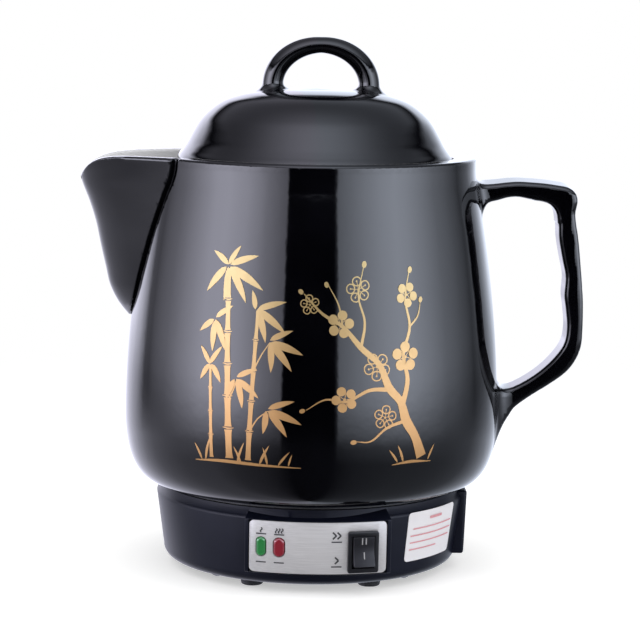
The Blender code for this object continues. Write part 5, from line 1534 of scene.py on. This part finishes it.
def make_world():
    """Plain light for matt surfaces. Gloss sees the soft boxes and dark flags of a studio."""
    world = bpy.data.worlds.new("studio")
    bpy.context.scene.world = world
    world.use_nodes = True
    tree = world.node_tree
    tree.nodes.clear()
    way = Wire(tree, tree.nodes.new("ShaderNodeTexCoord").outputs["Generated"])
    turn = way.math("ARCTAN2", way.part("X"), way.part("Y") * -1)
    rise = way.math("ARCSINE", way.part("Z"))

    def ladder(angles):
        """Rises from 0 to 1 between two angles above the level."""
        return rise.span(*[math.radians(angle) for angle in angles])

    def around(levels):
        """A level for each angle round the pot."""
        ramp = tree.nodes.new("ShaderNodeValToRGB")
        stops = ramp.color_ramp.elements
        stops.remove(stops[-1])
        for index, (angle, level) in enumerate(levels):
            spot = (angle + 180) / 360
            stop = stops[0] if index == 0 else stops.new(spot)
            stop.position = spot
            stop.color = (*[level / SKY_PEAK] * 3, 1)
        way.feed(ramp.inputs["Fac"], turn / math.tau + 0.5)
        return Wire(tree, ramp.outputs["Color"])

    gap = 1 - turn.math("ABSOLUTE", turn).span(*FRONT_GAP)
    bridge = ladder(BRIDGE) * gap * (BRIDGE_LEVEL / SKY_PEAK)
    foot = ladder(BOX_FOOT) * (1 - TAIL_SHARE) + ladder(BOX_TAIL) * TAIL_SHARE
    band = way.math("MAXIMUM", around(SOFT_BOXES), bridge) * (1 - ladder(BOX_TOP)) * foot
    table = around(TABLE) * (1 - ladder(TABLE_RISE))
    roof_turn, roof_rise = ROOF_WAY
    middle = (math.sin(roof_turn) * math.cos(roof_rise), -math.cos(roof_turn) * math.cos(roof_rise),
              math.sin(roof_rise))
    near = way.make("ShaderNodeVectorMath", {"operation": "DOT_PRODUCT"}, 1, _0=way, _1=middle)
    roof = way.math("MAXIMUM", near, 0.0) ** ROOF_POWER * (1 - ROOF_FLOOR) + ROOF_FLOOR
    roof = roof * ladder(ROOF_FOOT) * (ROOF_LEVEL / SKY_PEAK)
    level = (band + table + roof) * SKY_PEAK
    side = turn.span(*SIDE_FADE).tones(WARM_SIDE, COOL_SIDE)
    sky = way.make("ShaderNodeBackground", Color=side, Strength=level)
    plain = way.make("ShaderNodeBackground", Color=WHITE, Strength=PLAIN_LEVEL)
    white = way.make("ShaderNodeBackground", Color=WHITE, Strength=1.0)
    lit = way.make("ShaderNodeMixShader", _0=ray_kind(way, "Is Glossy Ray"), _1=plain, _2=sky)
    shown = way.make("ShaderNodeMixShader", _0=seen_directly(way), _1=lit, _2=white)
    output = tree.nodes.new("ShaderNodeOutputWorld")
    way.feed(output.inputs["Surface"], shown)


def make_lamps():
    """Broad overhead and side lamps for the shadow and for matt surfaces."""
    for name, place, size, watts in LAMPS:
        data = bpy.data.lights.new(name, "AREA")
        data.shape = "RECTANGLE"
        data.size, data.size_y = size
        data.energy = watts
        lamp = put_in(name, data)
        lamp.location = place
        lamp.rotation_euler = (Vector(AIM) - lamp.location).to_track_quat("-Z", "Y").to_euler()
        lamp.visible_glossy = False


def make_camera():
    """The photograph's view: its place, its aim and a slight roll."""
    camera = put_in("camera", bpy.data.cameras.new("camera"))
    camera.data.lens = LENS
    camera.data.sensor_width = SENSOR
    camera.location = (AXIS_X + CAMERA_AWAY * math.sin(CAMERA_TURN),
                       -CAMERA_AWAY * math.cos(CAMERA_TURN), CAMERA_Z)
    turn = Matrix.Rotation(CAMERA_TURN - CAMERA_ASIDE, 4, "Z")
    tilt = Matrix.Rotation(math.pi / 2 - CAMERA_DOWN, 4, "X")
    camera.rotation_euler = (turn @ tilt @ Matrix.Rotation(CAMERA_ROLL, 4, "Z")).to_euler()
    bpy.context.scene.camera = camera


def dress(piece, slot, finish=None, body="root", stands_for=()):
    """Give a piece its finish and body. Marks have no slot of their own in the record."""
    piece.data.materials.clear()
    piece.data.materials.append(FINISHES[finish or slot])
    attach(piece, body)
    if stands_for:
        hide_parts(*stands_for)


FINISHES = make_finishes()
for node, solid in NODES.items():
    for slot in solid.material_slots:
        base = "black_screw" if node.startswith("cover_screw") else slot.material.name.split(".")[0]
        slot.material = FINISHES[base]

make_camera()
make_floor()
make_world()
make_lamps()
dress(cast_jug(), "black_glaze", stands_for=["ceramic_pot"])
lid = cast("lid", lid_field, LID_LOW, LID_HIGH, LID_GRAIN, LID_TURNS)
dress(lid, "black_glaze", body="lid", stands_for=["ceramic_lid"])
dress(make_housing(), "housing_plastic", stands_for=["base_housing"])
dress(make_gasket(), "silicone", stands_for=["base_gasket"])
dress(make_panel(), "silver_panel", stands_for=["control_panel"])
for node, (x, width, colour) in LENSES.items():
    front = PANEL_SINK - LENS_PROUD
    cap = pill(node + "_cap", x, width, LENS_H, front, front + LENS_DEPTH, LENS_CROWN)
    dress(cap, colour, stands_for=[node])
dress(make_rocker(), "black_plastic", stands_for=["rocker_housing"])
dress(make_key(), "black_plastic", "key_plastic", body="rocker", stands_for=["rocker_key"])
dress(make_label(), "white_label", stands_for=["side_label"])
dress(make_label_lines(), None, "rose_ink")
dress(make_panel_marks(), None, "mark_ink")
dress(make_key_marks(), None, "pale_ink", body="rocker")
dress(make_print(), None, "gold_print")
for number in range(1, 5):
    node = f"rubber_foot_{number}"
    dress(make_foot(node), "foot_rubber", stands_for=[node])
dress(make_inlet(), "black_plastic", stands_for=["inlet_socket"])

bpy.context.scene.view_settings.view_transform = "Standard"
